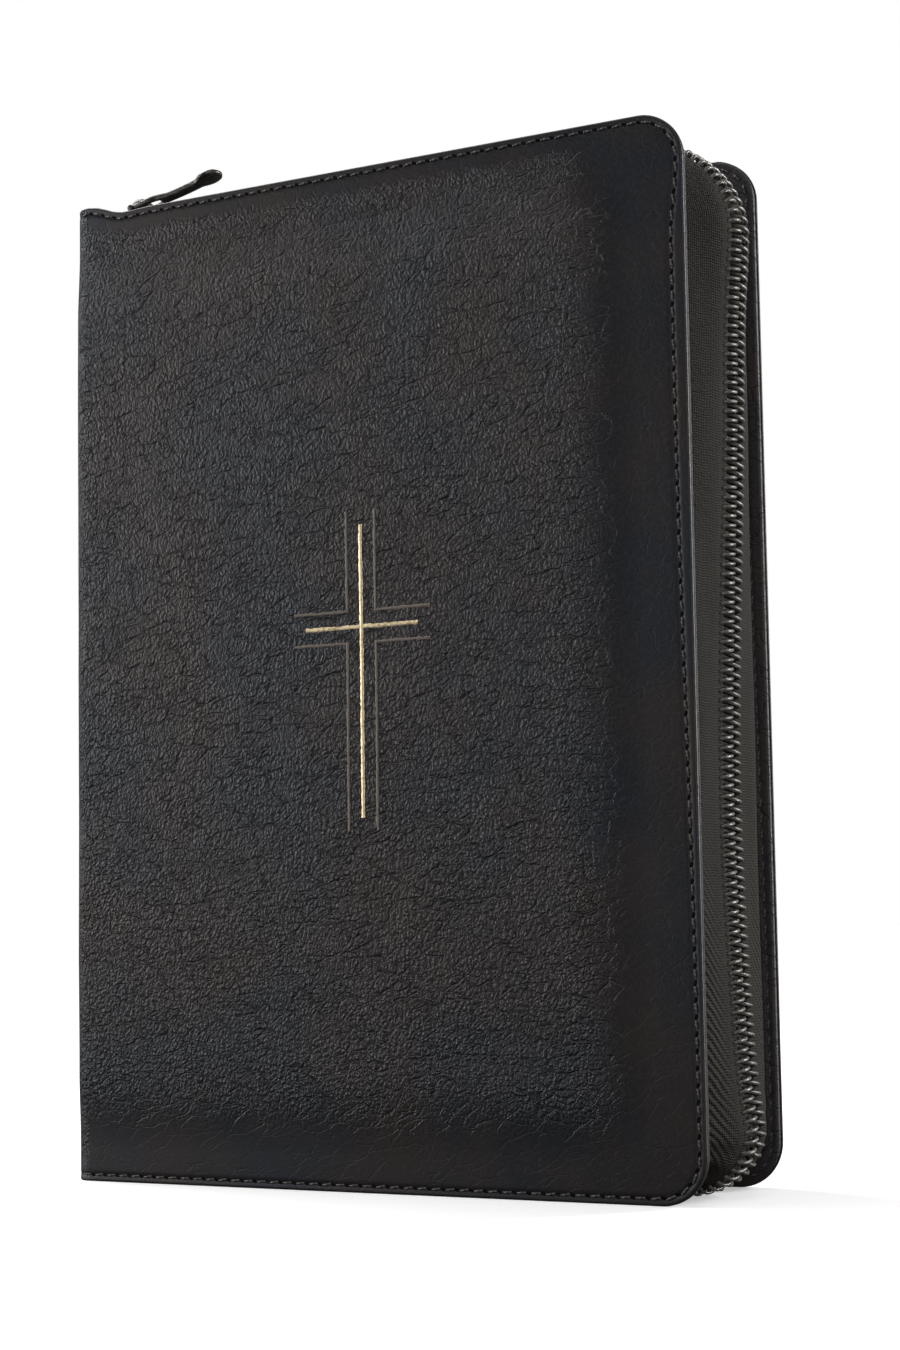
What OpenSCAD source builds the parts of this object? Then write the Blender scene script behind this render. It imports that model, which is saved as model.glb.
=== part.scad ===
// Zip-around bible, standing on its tail edge.
// X runs from the spine (-X) to the fore-edge (+X), Y from the front cover (-Y) to the back
// cover (+Y), Z up the height of the book. The origin is the middle of the tail edge, with the
// chain's bulge counted in the width.

/* [Book] */
// Height of the covers, tail edge to head edge
book_h = 200; // [170:1:240]
// Width over the spine and the covers
book_w = 140; // [116:1:170]
// Thickness over the padded panels of both covers
book_t = 38.8; // [32:0.2:50]
// Radius of the two fore-edge corners of each cover
corner_r = 9; // [5:0.5:14]
// Radius where a cover rolls into the spine
spine_r = 4; // [3:0.5:5]

/* [Cover] */
// Height of the padded panel above the margin
panel_rise = 1.2; // [0.6:0.1:1.6]
// Flat margin beside the panel along the fore-edge
margin_side = 15; // [13:0.5:18]
// Flat margin at the head and the tail
margin_end = 11.5; // [11:0.5:14]
// Thickness of the outer skin
skin_t = 1.1; // [0.8:0.1:1.4]
// Thickness of the board
board_t = 1.8; // [1.2:0.1:2.0]
// Thickness of the lining at the margin
lining_t = 1.0; // [0.8:0.1:1.2]
// Inset of the edge stitching
stitch_inset = 2.2; // [1.6:0.1:3]
// Pitch of the edge stitching
stitch_pitch = 3; // [2.4:0.1:4]

/* [Pages] */
// Gap from the page fore-edge to the cover edge
page_side_gap = 16; // [15:0.5:22]
// Gap from the page head and tail to the cover edge
page_end_gap = 12; // [12:0.5:16]
// Width of the strip of each leaf that is bound into the back
gutter_w = 7; // [6:0.5:10]
// Thickness of one group of turning leaves
leaf_group_t = 2.4; // [1.6:0.1:3]
// Thickness of a flyleaf
flyleaf_t = 0.4; // [0.3:0.05:0.6]

/* [Zip] */
// Width of the closed chain
chain_w = 6.6; // [5.4:0.1:8]
// Thickness of the closed chain
chain_t = 2.5; // [2:0.1:3]
// Pitch of the teeth
tooth_pitch = 1.8; // [1.5:0.1:2.4]
// Thickness of the tape
tape_t = 0.6; // [0.4:0.05:0.8]
// Radius of the chain's corner at the head
chain_r = 21; // [17:0.5:26]
// Radius of the chain's corner at the tail
chain_tail_r = 12; // [11:0.5:20]
// Length of the pull from its pin to its tip
pull_len = 22; // [18:0.5:28]
// Angle at which the pull rests
pull_rest = 14; // [10:1:30]

/* [Ornament] */
// Height of the gold cross
cross_h = 57; // [40:1:70]
// Width of the gold cross
cross_w = 25.4; // [18:0.2:32]
// Height of the middle of the cross arms
cross_z = 108.4; // [95:0.2:115]
// Distance of the grey outline from the gold lines
outline_gap = 3; // [2:0.1:4]

/* [Hidden] */
SECTIONS = 8;
$fn = 64;

// Covers: heights across the thickness, measured from the middle plane
half_t = book_t / 2;
skin_y = half_t - panel_rise;             // outer face of the margin
pocket_y = half_t - skin_t;               // outer face of the board
board_in_y = pocket_y - board_t;          // inner face of the board
seam_y = skin_y - skin_t;                 // face where skin and lining meet
inner_y = seam_y - lining_t;              // inner face of the lining
chain_out = 1.6;                          // chain's middle line beyond the fore-edge
overall_w = book_w + chain_out + chain_t / 2;
spine_x = -overall_w / 2;
edge_x = spine_x + book_w;
hinge_x = spine_x + spine_r;              // fold line of both covers
panel_x = edge_x - margin_side;
panel_r = 5;
pocket_in = 0.9;                          // leather wall around the board

// Spine
spine_t = 1.2;
spine_in_x = spine_x + spine_t;
lining_x = spine_in_x + 0.5;
mull_x = lining_x + 0.3;

// Pages
block_x0 = mull_x;
block_x1 = edge_x - page_side_gap;
gutter_x = block_x0 + gutter_w;           // fold line of the leaves
block_z0 = page_end_gap;
block_z1 = book_h - page_end_gap;
leaf_gap = 0.05;                          // air between two leaf groups
block_y = inner_y - 0.1;                  // outermost page face
front_y1 = -block_y + flyleaf_t + leaf_gap;           // front face of the first leaf group
leaf_step = leaf_group_t + leaf_gap;
core_y0 = front_y1 + 3 * leaf_step;       // first sewn section
core_y1 = block_y - flyleaf_t - leaf_gap - leaf_step;
section_t = (core_y1 - core_y0) / SECTIONS;

// Zip: the chain runs along the head, round a corner, down the fore-edge, round a corner
// and back along the tail. These are the middle line's places.
chain_head_z = book_h + 0.2;
chain_side_x = edge_x + chain_out;
chain_tail_z = 0.65 + chain_t / 2;
chain_start_x = hinge_x + 8;
run_x = chain_side_x - chain_r - chain_start_x;       // length of the head run
run_tail = chain_side_x - chain_tail_r - chain_start_x;       // length of the tail run
run_z = chain_head_z - chain_tail_z - chain_r - chain_tail_r; // length of the fore-edge run
path_len = run_x + run_tail + (chain_r + chain_tail_r) * PI / 2 + run_z;
tooth_w = tooth_pitch / 2 - 0.2;
tooth_reach = 0.9;                        // how far a tooth crosses the middle
bead_y = 1.1;                             // inner edge of the row of beads
chain_y = chain_w / 2;
tape_flat_y = chain_w / 2 + 3;            // end of the tape's flat part
hem_in = 4.8;                             // from the chain to the hem on the lining
hem_w = 4.4;

// Slider
slider_len = 9.6;
slider_x = spine_in_x + 0.3 + slider_len / 2;
slider_w = chain_w + 3.2;
blade_t = 1.4;
blade_gap = chain_t / 2 + 0.35;           // from the chain's middle to a blade
slit = tape_t / 2 + 0.2;
crown_t = 2;
crown_h = 5;
pin_r = 0.8;
pin_play = 0.08;
pin_x = slider_x - 2.9;
pin_z = chain_head_z + blade_gap + blade_t + 2.3;

leather = [0.10, 0.10, 0.11];
paper = [0.93, 0.90, 0.82];
tape_colour = [0.16, 0.15, 0.13];
teeth_colour = [0.24, 0.22, 0.20];

// A flat plate between two depths; its outline is drawn in X and Z
module plate(y0, y1) {
    translate([0, y1, 0]) rotate([90, 0, 0]) linear_extrude(y1 - y0) children();
}

// A rectangle whose two fore-edge corners are rounded
module cover_outline(x0, x1, z0, z1, r) {
    difference() {
        translate([x0, z0]) square([x1 - x0, z1 - z0]);
        for (z = [z0, z1 - r]) translate([x1 - r, z]) square(r);
    }
    for (z = [z0 + r, z1 - r]) translate([x1 - r, z]) circle(r);
}

module panel_outline(inset) {
    cover_outline(hinge_x + (inset > 0 ? 4 : 0), panel_x - inset,
                  margin_end + inset, book_h - margin_end - inset, panel_r);
}

// ---- Cover pieces, drawn for the front cover; the back ones are mirrored ----

module skin() {
    difference() {
        union() {
            plate(-skin_y, -seam_y) cover_outline(hinge_x, edge_x, 0, book_h, corner_r);
            plate(-half_t, -skin_y + 0.4) panel_outline(0);
        }
        plate(-pocket_y, -seam_y + 1) panel_outline(pocket_in);
    }
}

module board() {
    plate(-pocket_y, -board_in_y) panel_outline(pocket_in);
}

module lining() {
    difference() {
        plate(-seam_y, -inner_y) cover_outline(hinge_x, edge_x, 0, book_h, corner_r);
        plate(-seam_y - 1, -board_in_y) panel_outline(pocket_in);
    }
}

// Points of one short stitch, seen from outside, centred on p and turned by a
function stitch_quad(p, a) = [
    for (c = [[-0.85, -0.26], [0.85, -0.26], [0.85, 0.26], [-0.85, 0.26]])
        [p[0] + c[0] * cos(a) - c[1] * sin(a), p[1] + c[0] * sin(a) + c[1] * cos(a)]
];

// Middle and direction of the stitch at distance s along head, fore-edge and tail
stitch_r = corner_r - stitch_inset;
stitch_run = edge_x - corner_r - hinge_x - 2;
stitch_side = book_h - 2 * corner_r;
stitch_arc = stitch_r * PI / 2;
stitch_len = 2 * stitch_run + 2 * stitch_arc + stitch_side;

// r is the radius of the corner at the head, and q of the one at the tail
function on_u(s, x0, x1, z0, z1, r, q, run, side) =
    let (arc = r * PI / 2, bend = q * PI / 2)
    s < run ? [x0 + s, z1, 0] :
    s < run + arc ? let (a = (s - run) / arc * 90)
        [x1 - r + r * sin(a), z1 - r + r * cos(a), -a] :
    s < run + arc + side ? [x1, z1 - r - (s - run - arc), -90] :
    s < run + arc + side + bend ? let (a = (s - run - arc - side) / bend * 90)
        [x1 - q + q * cos(a), z0 + q - q * sin(a), -90 - a] :
    [x1 - q - (s - run - arc - side - bend), z0, -180];

function on_seam(s) = on_u(s, hinge_x + 2, edge_x - stitch_inset, stitch_inset,
                           book_h - stitch_inset, stitch_r, stitch_r, stitch_run, stitch_side);

// One flat polygon made of many separate quads
module quads(list) {
    n = len(list);
    polygon([for (q = list) for (p = q) p], [for (i = [0:n - 1]) [4 * i, 4 * i + 1, 4 * i + 2, 4 * i + 3]]);
}

module stitching() {
    count = floor(stitch_len / stitch_pitch);
    plate(-skin_y - 0.3, -skin_y) quads([
        for (i = [0:count - 1])
            let (p = on_seam((i + 0.5) * stitch_len / count)) stitch_quad(p, p[2] + 12)
    ]);
}

// Section of the tape: from under the beads, flat past the slider, then down to the cover
module tape_section() {
    h = tape_t / 2;
    polygon([
        [h, chain_y], [h, tape_flat_y], [-hem_in, inner_y], [-hem_in - hem_w, inner_y],
        [-hem_in - hem_w, inner_y - tape_t], [-hem_in - h, inner_y - tape_t], [-h, tape_flat_y - 0.5],
        [-h, chain_y]
    ]);
}

// Sweeps a section, drawn as [outwards, across], along head, corners, fore-edge and tail
module along_head(x0, x1) {
    translate([x0, 0, chain_head_z]) rotate([90, 0, 90]) linear_extrude(x1 - x0)
        rotate(90) children();
}

module along_zip() {
    along_head(chain_start_x, chain_side_x - chain_r) children();
    for (up = [0, 1]) {
        r = up ? chain_r : chain_tail_r;
        translate([chain_side_x - r, 0, up ? chain_head_z - r : chain_tail_z + r])
            rotate([90, up ? 0 : 90, 0]) rotate_extrude(angle = 90, $fn = 96)
                translate([r, 0]) children();
    }
    translate([chain_side_x, 0, chain_tail_z + chain_tail_r]) linear_extrude(run_z)
        mirror([0, 1]) children();
    translate([0, 0, chain_tail_z]) mirror([0, 0, 1]) translate([0, 0, -chain_head_z])
        along_head(chain_start_x, chain_side_x - chain_tail_r) children();
}

module tape() {
    along_zip() tape_section();
}

// Middle line of the chain at distance s from its start at the head
function on_chain(s) = on_u(s, chain_start_x, chain_side_x, chain_tail_z, chain_head_z,
                            chain_r, chain_tail_r, run_x, run_z);

function tooth_quad(p) = [
    for (c = [[-1, -1], [1, -1], [1, 1], [-1, 1]])
        let (u = c[0] * tooth_w / 2, v = c[1] * chain_t / 2)
            [p[0] + u * cos(p[2]) - v * sin(p[2]), p[1] + u * sin(p[2]) + v * cos(p[2])]
];

function band_points(s0, s1, step, side) = [
    for (i = [0:ceil((s1 - s0) / step)])
        let (p = on_chain(min(s0 + i * step, s1)))
            [p[0] - side * chain_t / 2 * sin(p[2]), p[1] + side * chain_t / 2 * cos(p[2])]
];

// One half of the chain between two distances: a row of beads with teeth that cross the
// middle. phase shifts the teeth so that the two halves mesh.
module teeth(s0, s1, phase) {
    first = ceil(s0 / tooth_pitch - phase + 0.3);
    last = floor(s1 / tooth_pitch - phase - 0.3);
    outer = band_points(s0, s1, 3, 1);
    inner = band_points(s0, s1, 3, -1);
    plate(-chain_y, -bead_y)
        polygon(concat(outer, [for (i = [len(inner) - 1:-1:0]) inner[i]]));
    plate(-bead_y - 0.4, tooth_reach)
        quads([for (i = [first:last]) tooth_quad(on_chain((i + phase) * tooth_pitch))]);
}

// ---- Front cover ----

module front_leather() { color(leather) skin(); }
module front_board() { color("dimgray") board(); }
module front_lining() { color([0.13, 0.13, 0.14]) lining(); }
module front_stitching() { color([0.25, 0.24, 0.24]) stitching(); }
module front_zip_tape() { color(tape_colour) tape(); }
module front_zip_teeth() { color(teeth_colour) teeth(run_x, path_len, 0.25); }
module front_head_teeth() { color(teeth_colour) teeth(0, run_x, 0.25); }

foil_t = 0.06;
line_w = 0.7;
outline_w = 0.45;
cross_x = (spine_x + edge_x) / 2 + 0.5;

module gold_cross() {
    color("goldenrod") plate(-half_t - foil_t, -half_t) {
        translate([cross_x - line_w / 2, cross_z + 20 - cross_h]) square([line_w, cross_h]);
        translate([cross_x - cross_w / 2, cross_z - line_w / 2]) square([cross_w, line_w]);
    }
}

module cross_outline() {
    low = cross_z + 20 - cross_h - 2.5;
    high = cross_z + 22.8;
    color([0.42, 0.38, 0.34]) plate(-half_t - foil_t, -half_t)
        for (side = [-1, 1]) for (end = [-1, 1]) {
            tip = end > 0 ? high : low;
            corner = [cross_x + side * outline_gap, cross_z + end * (outline_gap - 0.1)];
            polygon([
                corner, [corner[0], tip], [corner[0] + side * outline_w, tip],
                corner + [side * outline_w, end * outline_w],
                [cross_x + side * (cross_w / 2 + 2.7), corner[1] + end * outline_w],
                [cross_x + side * (cross_w / 2 + 2.7), corner[1]]
            ]);
        }
}

// ---- Back cover ----

module back() { mirror([0, 1, 0]) children(); }
module back_leather() { color(leather) back() skin(); }
module back_board() { color("dimgray") back() board(); }
module back_lining() { color([0.13, 0.13, 0.14]) back() lining(); }
module back_stitching() { color([0.25, 0.24, 0.24]) back() stitching(); }
module back_zip_tape() { color(tape_colour) back() tape(); }
module back_zip_teeth() { color(teeth_colour) back() teeth(run_x, path_len, 0.75); }
module back_head_teeth() { color(teeth_colour) back() teeth(0, run_x, 0.75); }

// ---- Spine and binding ----

// Outline of the spine from the fold line round to the back, seen from above
module spine_outline(inset) {
    r = spine_r - inset;
    translate([spine_x + inset, -half_t + spine_r]) square([r, book_t - 2 * spine_r]);
    for (side = [-1, 1]) intersection() {
        translate([hinge_x, side * (half_t - spine_r)]) circle(r);
        translate([spine_x, -half_t]) square([spine_r, book_t]);
    }
}

module spine_leather() {
    color(leather) linear_extrude(book_h) difference() {
        spine_outline(0);
        spine_outline(spine_t);
    }
}

module spine_lining() {
    color("tan") translate([spine_in_x, -block_y + 1.5, block_z0 + 3])
        cube([lining_x - spine_in_x, 2 * block_y - 3, block_z1 - block_z0 - 6]);
}

module spine_mull() {
    color("beige") translate([lining_x, -block_y + 2, block_z0 + 8])
        cube([mull_x - lining_x, 2 * block_y - 4, block_z1 - block_z0 - 16]);
}

module end_band() {
    r = 0.9;
    long = 2 * block_y - 4;
    translate([block_x0 + 0.2, -long / 2, 0]) cube([2 * r, long, r]);
    translate([block_x0 + 0.2 + r, -long / 2, r]) rotate([-90, 0, 0]) cylinder(r = r, h = long);
}

module headband() { color("white") translate([0, 0, block_z1]) end_band(); }
module tailband() { color("white") translate([0, 0, block_z0]) mirror([0, 0, 1]) end_band(); }

// ---- Pages ----

module leaves(x0, y0, t) {
    color(paper) translate([x0, y0, block_z0]) cube([block_x1 - x0, t, block_z1 - block_z0]);
}

module front_gutter() {
    color(paper) translate([block_x0, -block_y, block_z0])
        cube([gutter_w, core_y0 + block_y, block_z1 - block_z0]);
}

module back_gutter() {
    color(paper) translate([block_x0, core_y1, block_z0])
        cube([gutter_w, block_y - core_y1, block_z1 - block_z0]);
}

module section(i) { leaves(block_x0, core_y0 + (i - 1) * section_t, section_t); }
module front_flyleaf() { leaves(gutter_x, -block_y, flyleaf_t); }
module back_flyleaf() { leaves(gutter_x, block_y - flyleaf_t, flyleaf_t); }
module front_leaves(i) { leaves(gutter_x, front_y1 + (i - 1) * leaf_step, leaf_group_t); }
module leaves_4() { leaves(gutter_x, core_y1 + leaf_gap, leaf_group_t); }

// ---- Fixed ends of the zip at the spine ----

module end_tapes() {
    for (side = [0, 1]) mirror([0, side, 0]) along_head(spine_in_x, chain_start_x - 0.6)
        polygon([
            [tape_t / 2, chain_y], [tape_t / 2, tape_flat_y], [-hem_in, inner_y - 4], [-hem_in - 0.6, inner_y - 4.6],
            [-tape_t / 2, tape_flat_y - 0.4], [-tape_t / 2, chain_y]
        ]);
}

module zip_end_head() { color(tape_colour) end_tapes(); }

module zip_end_tail() {
    color(tape_colour) translate([0, 0, chain_tail_z]) mirror([0, 0, 1])
        translate([0, 0, -chain_head_z]) end_tapes();
}

// The closed bit of chain between the slider's wedge and the moving halves
module zip_end_teeth() {
    x0 = slider_x - 0.6;
    color(teeth_colour) translate([x0, -chain_y, chain_head_z - chain_t / 2])
        cube([chain_start_x - 0.6 - x0, chain_w, chain_t]);
}

// ---- Slider and pull ----

module blade_outline() {
    half = slider_len / 2;
    polygon([
        [-half, -slider_w / 2 + 0.8], [-half + 1.2, -slider_w / 2], [half - 2, -slider_w / 2 + 0.2],
        [half, -slider_w / 2 + 1.6], [half, slider_w / 2 - 1.6], [half - 2, slider_w / 2 - 0.2],
        [-half + 1.2, slider_w / 2], [-half, slider_w / 2 - 0.8]
    ]);
}

module wedge_outline() {
    half = slider_len / 2;
    polygon([[-half + 0.2, -1.4], [-half + 1.4, -1.8], [-1.2, 0], [-half + 1.4, 1.8], [-half + 0.2, 1.4]]);
}

module crown_outline() {
    difference() {
        union() {
            intersection() {
                translate([-0.4, 0]) circle(crown_h);
                translate([-6, -0.2]) square([12, 12]);
            }
            translate([-4.7, -0.2]) square([9, 1.2]);
        }
        translate([0.4, 1.4]) square([2.4, 1.6]);
        translate([pin_x - slider_x, 2.3]) circle(pin_r + pin_play);
    }
}

module slider() {
    color([0.2, 0.19, 0.18]) translate([slider_x, 0, chain_head_z]) {
        for (side = [0, 1]) mirror([0, 0, side]) {
            translate([0, 0, blade_gap]) linear_extrude(blade_t) blade_outline();
            translate([0, 0, slit]) linear_extrude(blade_gap - slit) difference() {
                blade_outline();
                translate([-slider_len, -chain_y - 0.4]) square([2 * slider_len, chain_w + 0.8]);
            }
        }
        translate([0, 0, -blade_gap]) linear_extrude(2 * blade_gap) wedge_outline();
        translate([0, 0, blade_gap + blade_t]) plate(-crown_t / 2, crown_t / 2) crown_outline();
    }
}

// The pull: two arms beside the crown, a pin through it, a slim bar and a broad end
module pull() {
    arm_y = crown_t / 2 + 0.3;
    arm_w = 1.1;
    bar_x = 8.2;
    thick = 1.3;
    color([0.2, 0.19, 0.18]) translate([pin_x, 0, pin_z]) rotate([0, -pull_rest, 0]) {
        rotate([90, 0, 0]) cylinder(r = pin_r, h = 2 * arm_y + 2, center = true);
        translate([0, 0, -thick / 2]) linear_extrude(thick) {
            for (side = [-1, 1]) {
                translate([-0.9, side > 0 ? arm_y : -arm_y - arm_w]) square([bar_x + 1.9, arm_w]);
            }
            translate([bar_x, -arm_y - arm_w]) square([1.4, 2 * (arm_y + arm_w)]);
            translate([bar_x, -1.3]) square([pull_len - bar_x - 3, 2.6]);
            translate([pull_len - 3, 0]) circle(3);
        }
    }
}

// ---- Parts ----

spine_leather();
spine_lining();
spine_mull();
headband();
tailband();
front_gutter();
back_gutter();
section(1);  // section_1
section(2);  // section_2
section(3);  // section_3
section(4);  // section_4
section(5);  // section_5
section(6);  // section_6
section(7);  // section_7
section(8);  // section_8
zip_end_head();
zip_end_tail();
zip_end_teeth();
front_leather();
front_board();
front_lining();
front_stitching();
gold_cross();
cross_outline();
front_zip_tape();
front_zip_teeth();
front_head_teeth();
back_leather();
back_board();
back_lining();
back_stitching();
back_zip_tape();
back_zip_teeth();
back_head_teeth();
slider();
pull();
front_flyleaf();
front_leaves(1);  // leaves_1
front_leaves(2);  // leaves_2
front_leaves(3);  // leaves_3
back_flyleaf();
leaves_4();
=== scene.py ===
"""A zip-around bible in dark pebbled leather, standing on its tail edge.

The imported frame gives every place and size. Each class below makes one sub-assembly: its sizes
are fields in millimetres, its shapes are whole-array surfaces, and its finishes are built from
shared node groups. X runs from the spine to the fore-edge, Y from front cover to back, Z up.
"""
import logging
import math
from dataclasses import dataclass, field
from enum import Enum
from typing import Callable, Optional, Sequence

import bpy
import numpy as np
from mathutils import Matrix, Vector


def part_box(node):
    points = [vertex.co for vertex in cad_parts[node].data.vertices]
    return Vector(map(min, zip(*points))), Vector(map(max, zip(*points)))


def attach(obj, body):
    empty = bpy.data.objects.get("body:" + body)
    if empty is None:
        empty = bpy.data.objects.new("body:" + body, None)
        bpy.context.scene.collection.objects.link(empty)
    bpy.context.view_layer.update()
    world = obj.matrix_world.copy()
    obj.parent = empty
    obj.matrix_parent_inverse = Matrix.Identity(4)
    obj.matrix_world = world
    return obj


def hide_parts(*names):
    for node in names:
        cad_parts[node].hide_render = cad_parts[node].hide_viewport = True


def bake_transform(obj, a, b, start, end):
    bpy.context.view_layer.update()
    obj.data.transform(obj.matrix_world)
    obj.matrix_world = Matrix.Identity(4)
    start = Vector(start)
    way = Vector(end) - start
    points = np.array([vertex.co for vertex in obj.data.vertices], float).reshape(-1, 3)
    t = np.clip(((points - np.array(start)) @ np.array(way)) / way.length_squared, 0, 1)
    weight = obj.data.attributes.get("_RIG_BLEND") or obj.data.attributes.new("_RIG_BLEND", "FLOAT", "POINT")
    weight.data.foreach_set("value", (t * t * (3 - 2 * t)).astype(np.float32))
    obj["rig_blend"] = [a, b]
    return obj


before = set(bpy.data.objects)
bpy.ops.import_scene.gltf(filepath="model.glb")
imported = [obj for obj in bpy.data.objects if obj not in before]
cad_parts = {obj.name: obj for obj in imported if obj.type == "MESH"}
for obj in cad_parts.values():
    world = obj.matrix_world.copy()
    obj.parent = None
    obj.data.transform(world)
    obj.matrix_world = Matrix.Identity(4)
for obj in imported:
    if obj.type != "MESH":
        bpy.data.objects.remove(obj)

LOG = logging.getLogger("zip_bible")
MM = 0.001
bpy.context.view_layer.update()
Array = np.ndarray
Socket = bpy.types.NodeSocket


class Side(Enum):
    """Which cover a piece belongs to; the value is the sign of Y on that side."""

    FRONT = -1
    BACK = 1

    @property
    def body(self) -> str:
        """Name of the cover's body in the frame."""
        return f"{self.word}_cover"

    @property
    def word(self) -> str:
        """The side's name in lower case, as piece names start."""
        return self.name.lower()


class Edge(Enum):
    """The two ends of the standing book."""

    HEAD = 1
    TAIL = -1


# ---------------------------------------------------------------- numbers and meshes


def smooth(t: Array) -> Array:
    """Eases from 0 to 1 as t goes from 0 to 1, level at both ends.

    Args:
        t: any array.
    Returns:
        3t^2 - 2t^3 of t held between 0 and 1.
    """
    t = np.clip(t, 0.0, 1.0)
    return t * t * (3.0 - 2.0 * t)


def bell(x: Array, middle: float, width: float) -> Array:
    """A bell curve of height 1: e to the minus square of (x - middle) / width.

    Args:
        x: where to read it.
        middle: place of the top.
        width: distance at which it has fallen to about a third.
    Returns:
        The curve's heights.
    """
    return np.exp(-(((x - middle) / width) ** 2))


def low(node: str) -> Array:
    """Returns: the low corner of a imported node's box, in millimetres."""
    return np.array(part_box(node)[0]) / MM


def high(node: str) -> Array:
    """Returns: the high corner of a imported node's box, in millimetres."""
    return np.array(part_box(node)[1]) / MM


def steady(line: Array, x: float, y: float, z: float) -> Array:
    """One direction repeated for every point of a line.

    Args:
        line: the line's points, N by 3.
        x: share along X.
        y: share along Y.
        z: share along Z.
    Returns:
        N by 3 numbers.
    """
    return np.broadcast_to([x, y, z], line.shape)


def grid_faces(rows: int, cols: int, ring: bool = False, flip: bool = False, first: int = 0) -> Array:
    """Four-sided faces of a grid of points stored row by row.

    Args:
        rows: number of rows.
        cols: number of points in a row.
        ring: True if each row closes on itself.
        flip: True to turn the faces over.
        first: index of the grid's first point.
    Returns:
        An array of faces, four point indices each.
    """
    r = np.arange(rows - 1)[:, None]
    c = np.arange(cols if ring else cols - 1)[None, :]
    n = (c + 1) % cols
    quads = np.stack([r * cols + c, r * cols + n, (r + 1) * cols + n, (r + 1) * cols + c], -1)
    quads = quads.reshape(-1, 4) + first
    return quads[:, ::-1] if flip else quads


@dataclass
class Shape:
    """Points in millimetres with faces, texture places and named values at each point."""

    points: Array
    faces: list
    uv: Optional[Array] = None
    values: dict = field(default_factory=dict)
    slots: Optional[list] = None

    @staticmethod
    def join(shapes: Sequence["Shape"]) -> "Shape":
        """Puts several shapes into one.

        Args:
            shapes: the shapes, each with the same named values.
        Returns:
            One shape holding them all.
        """
        start, faces, slots = 0, [], []
        for s in shapes:
            faces += [f + start for f in s.faces]
            slots += list(s.slots) if s.slots else [0] * len(s.faces)
            start += len(s.points)
        uv = np.concatenate([s.uv for s in shapes]) if all(s.uv is not None for s in shapes) else None
        values = {k: np.concatenate([s.values[k] for s in shapes]) for k in shapes[0].values}
        return Shape(np.concatenate([s.points for s in shapes]), faces, uv, values, slots)

    def mirrored(self, side: Side) -> "Shape":
        """The shape itself for the front, or its mirror image in Y for the back.

        Args:
            side: the cover it is for; shapes are drawn for the front.
        Returns:
            The shape on that side, its faces still pointing outwards.
        """
        if side is Side.FRONT:
            return self
        points = self.points * np.array([1.0, -1.0, 1.0])
        uv = None if self.uv is None else self.uv * np.array([-1.0, 1.0])
        return Shape(points, [f[:, ::-1] for f in self.faces], uv, self.values, self.slots)

    def piece(self, name: str, *finishes: "Finish", crisp: Optional[float] = 40.0) -> bpy.types.Object:
        """Makes the object.

        Args:
            name: the piece's name.
            finishes: one finish for each slot number.
            crisp: angle in degrees above which an edge is sharp, or None for all smooth.
        Returns:
            The new object, at the origin, unturned and unscaled.
        """
        mesh = bpy.data.meshes.new(name)
        co = np.ascontiguousarray(self.points.reshape(-1, 3) * MM, dtype=np.float32)
        loops = np.concatenate([f.ravel() for f in self.faces]).astype(np.int32)
        totals = np.concatenate([np.full(len(f), f.shape[1]) for f in self.faces])
        starts = np.concatenate([[0], np.cumsum(totals)[:-1]]).astype(np.int32)
        mesh.vertices.add(len(co))
        mesh.vertices.foreach_set("co", co.ravel())
        mesh.loops.add(len(loops))
        mesh.loops.foreach_set("vertex_index", loops)
        mesh.polygons.add(len(totals))
        mesh.polygons.foreach_set("loop_start", starts)
        mesh.polygons.foreach_set("use_smooth", np.ones(len(totals), bool))
        if self.slots:
            slot = np.concatenate([np.full(len(f), s) for f, s in zip(self.faces, self.slots)])
            mesh.polygons.foreach_set("material_index", slot.astype(np.int32))
        mesh.update(calc_edges=True)
        if self.uv is not None:
            layer = mesh.uv_layers.new(name="UVMap")
            layer.data.foreach_set("uv", (self.uv[loops] * MM).astype(np.float32).ravel())
        for key, value in self.values.items():
            attribute = mesh.attributes.new(key, "FLOAT", "POINT")
            attribute.data.foreach_set("value", value.astype(np.float32))
        if crisp is not None:
            mesh.set_sharp_from_angle(angle=math.radians(crisp))
        for finish in finishes:
            mesh.materials.append(finish.material())
        made = bpy.data.objects.new(name, mesh)
        bpy.context.scene.collection.objects.link(made)
        return made


def sweep(line: Array, across: Array, outward: Array, profile: Array) -> Shape:
    """Carries a closed profile along a line, and closes both ends.

    Args:
        line: N points of the line.
        across: N unit vectors that the profile's first number runs along.
        outward: N unit vectors that its second number runs along.
        profile: M by 2 numbers, or N by M by 2 where it changes along the line; a loop that runs
            counter-clockwise seen from the line's end.
    Returns:
        The swept shape; point = line + across * a + outward * b.
    """
    shape = np.broadcast_to(profile, (len(line),) + profile.shape[-2:])
    points = line[:, None] + across[:, None] * shape[..., :1] + outward[:, None] * shape[..., 1:]
    rows, cols = points.shape[:2]
    start_cap, end_cap = np.arange(cols)[None, ::-1], (rows - 1) * cols + np.arange(cols)[None, :]
    faces = [grid_faces(rows, cols, ring=True), start_cap, end_cap]
    run = np.concatenate([[0], np.cumsum(np.linalg.norm(np.diff(line, axis=0), axis=1))])
    step = np.linalg.norm(np.diff(shape[0], axis=0), axis=1)
    wide = np.concatenate([[0], np.cumsum(step)])
    uv = np.stack(np.meshgrid(wide, run), -1).reshape(-1, 2)
    return Shape(points.reshape(-1, 3), faces, uv)


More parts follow.
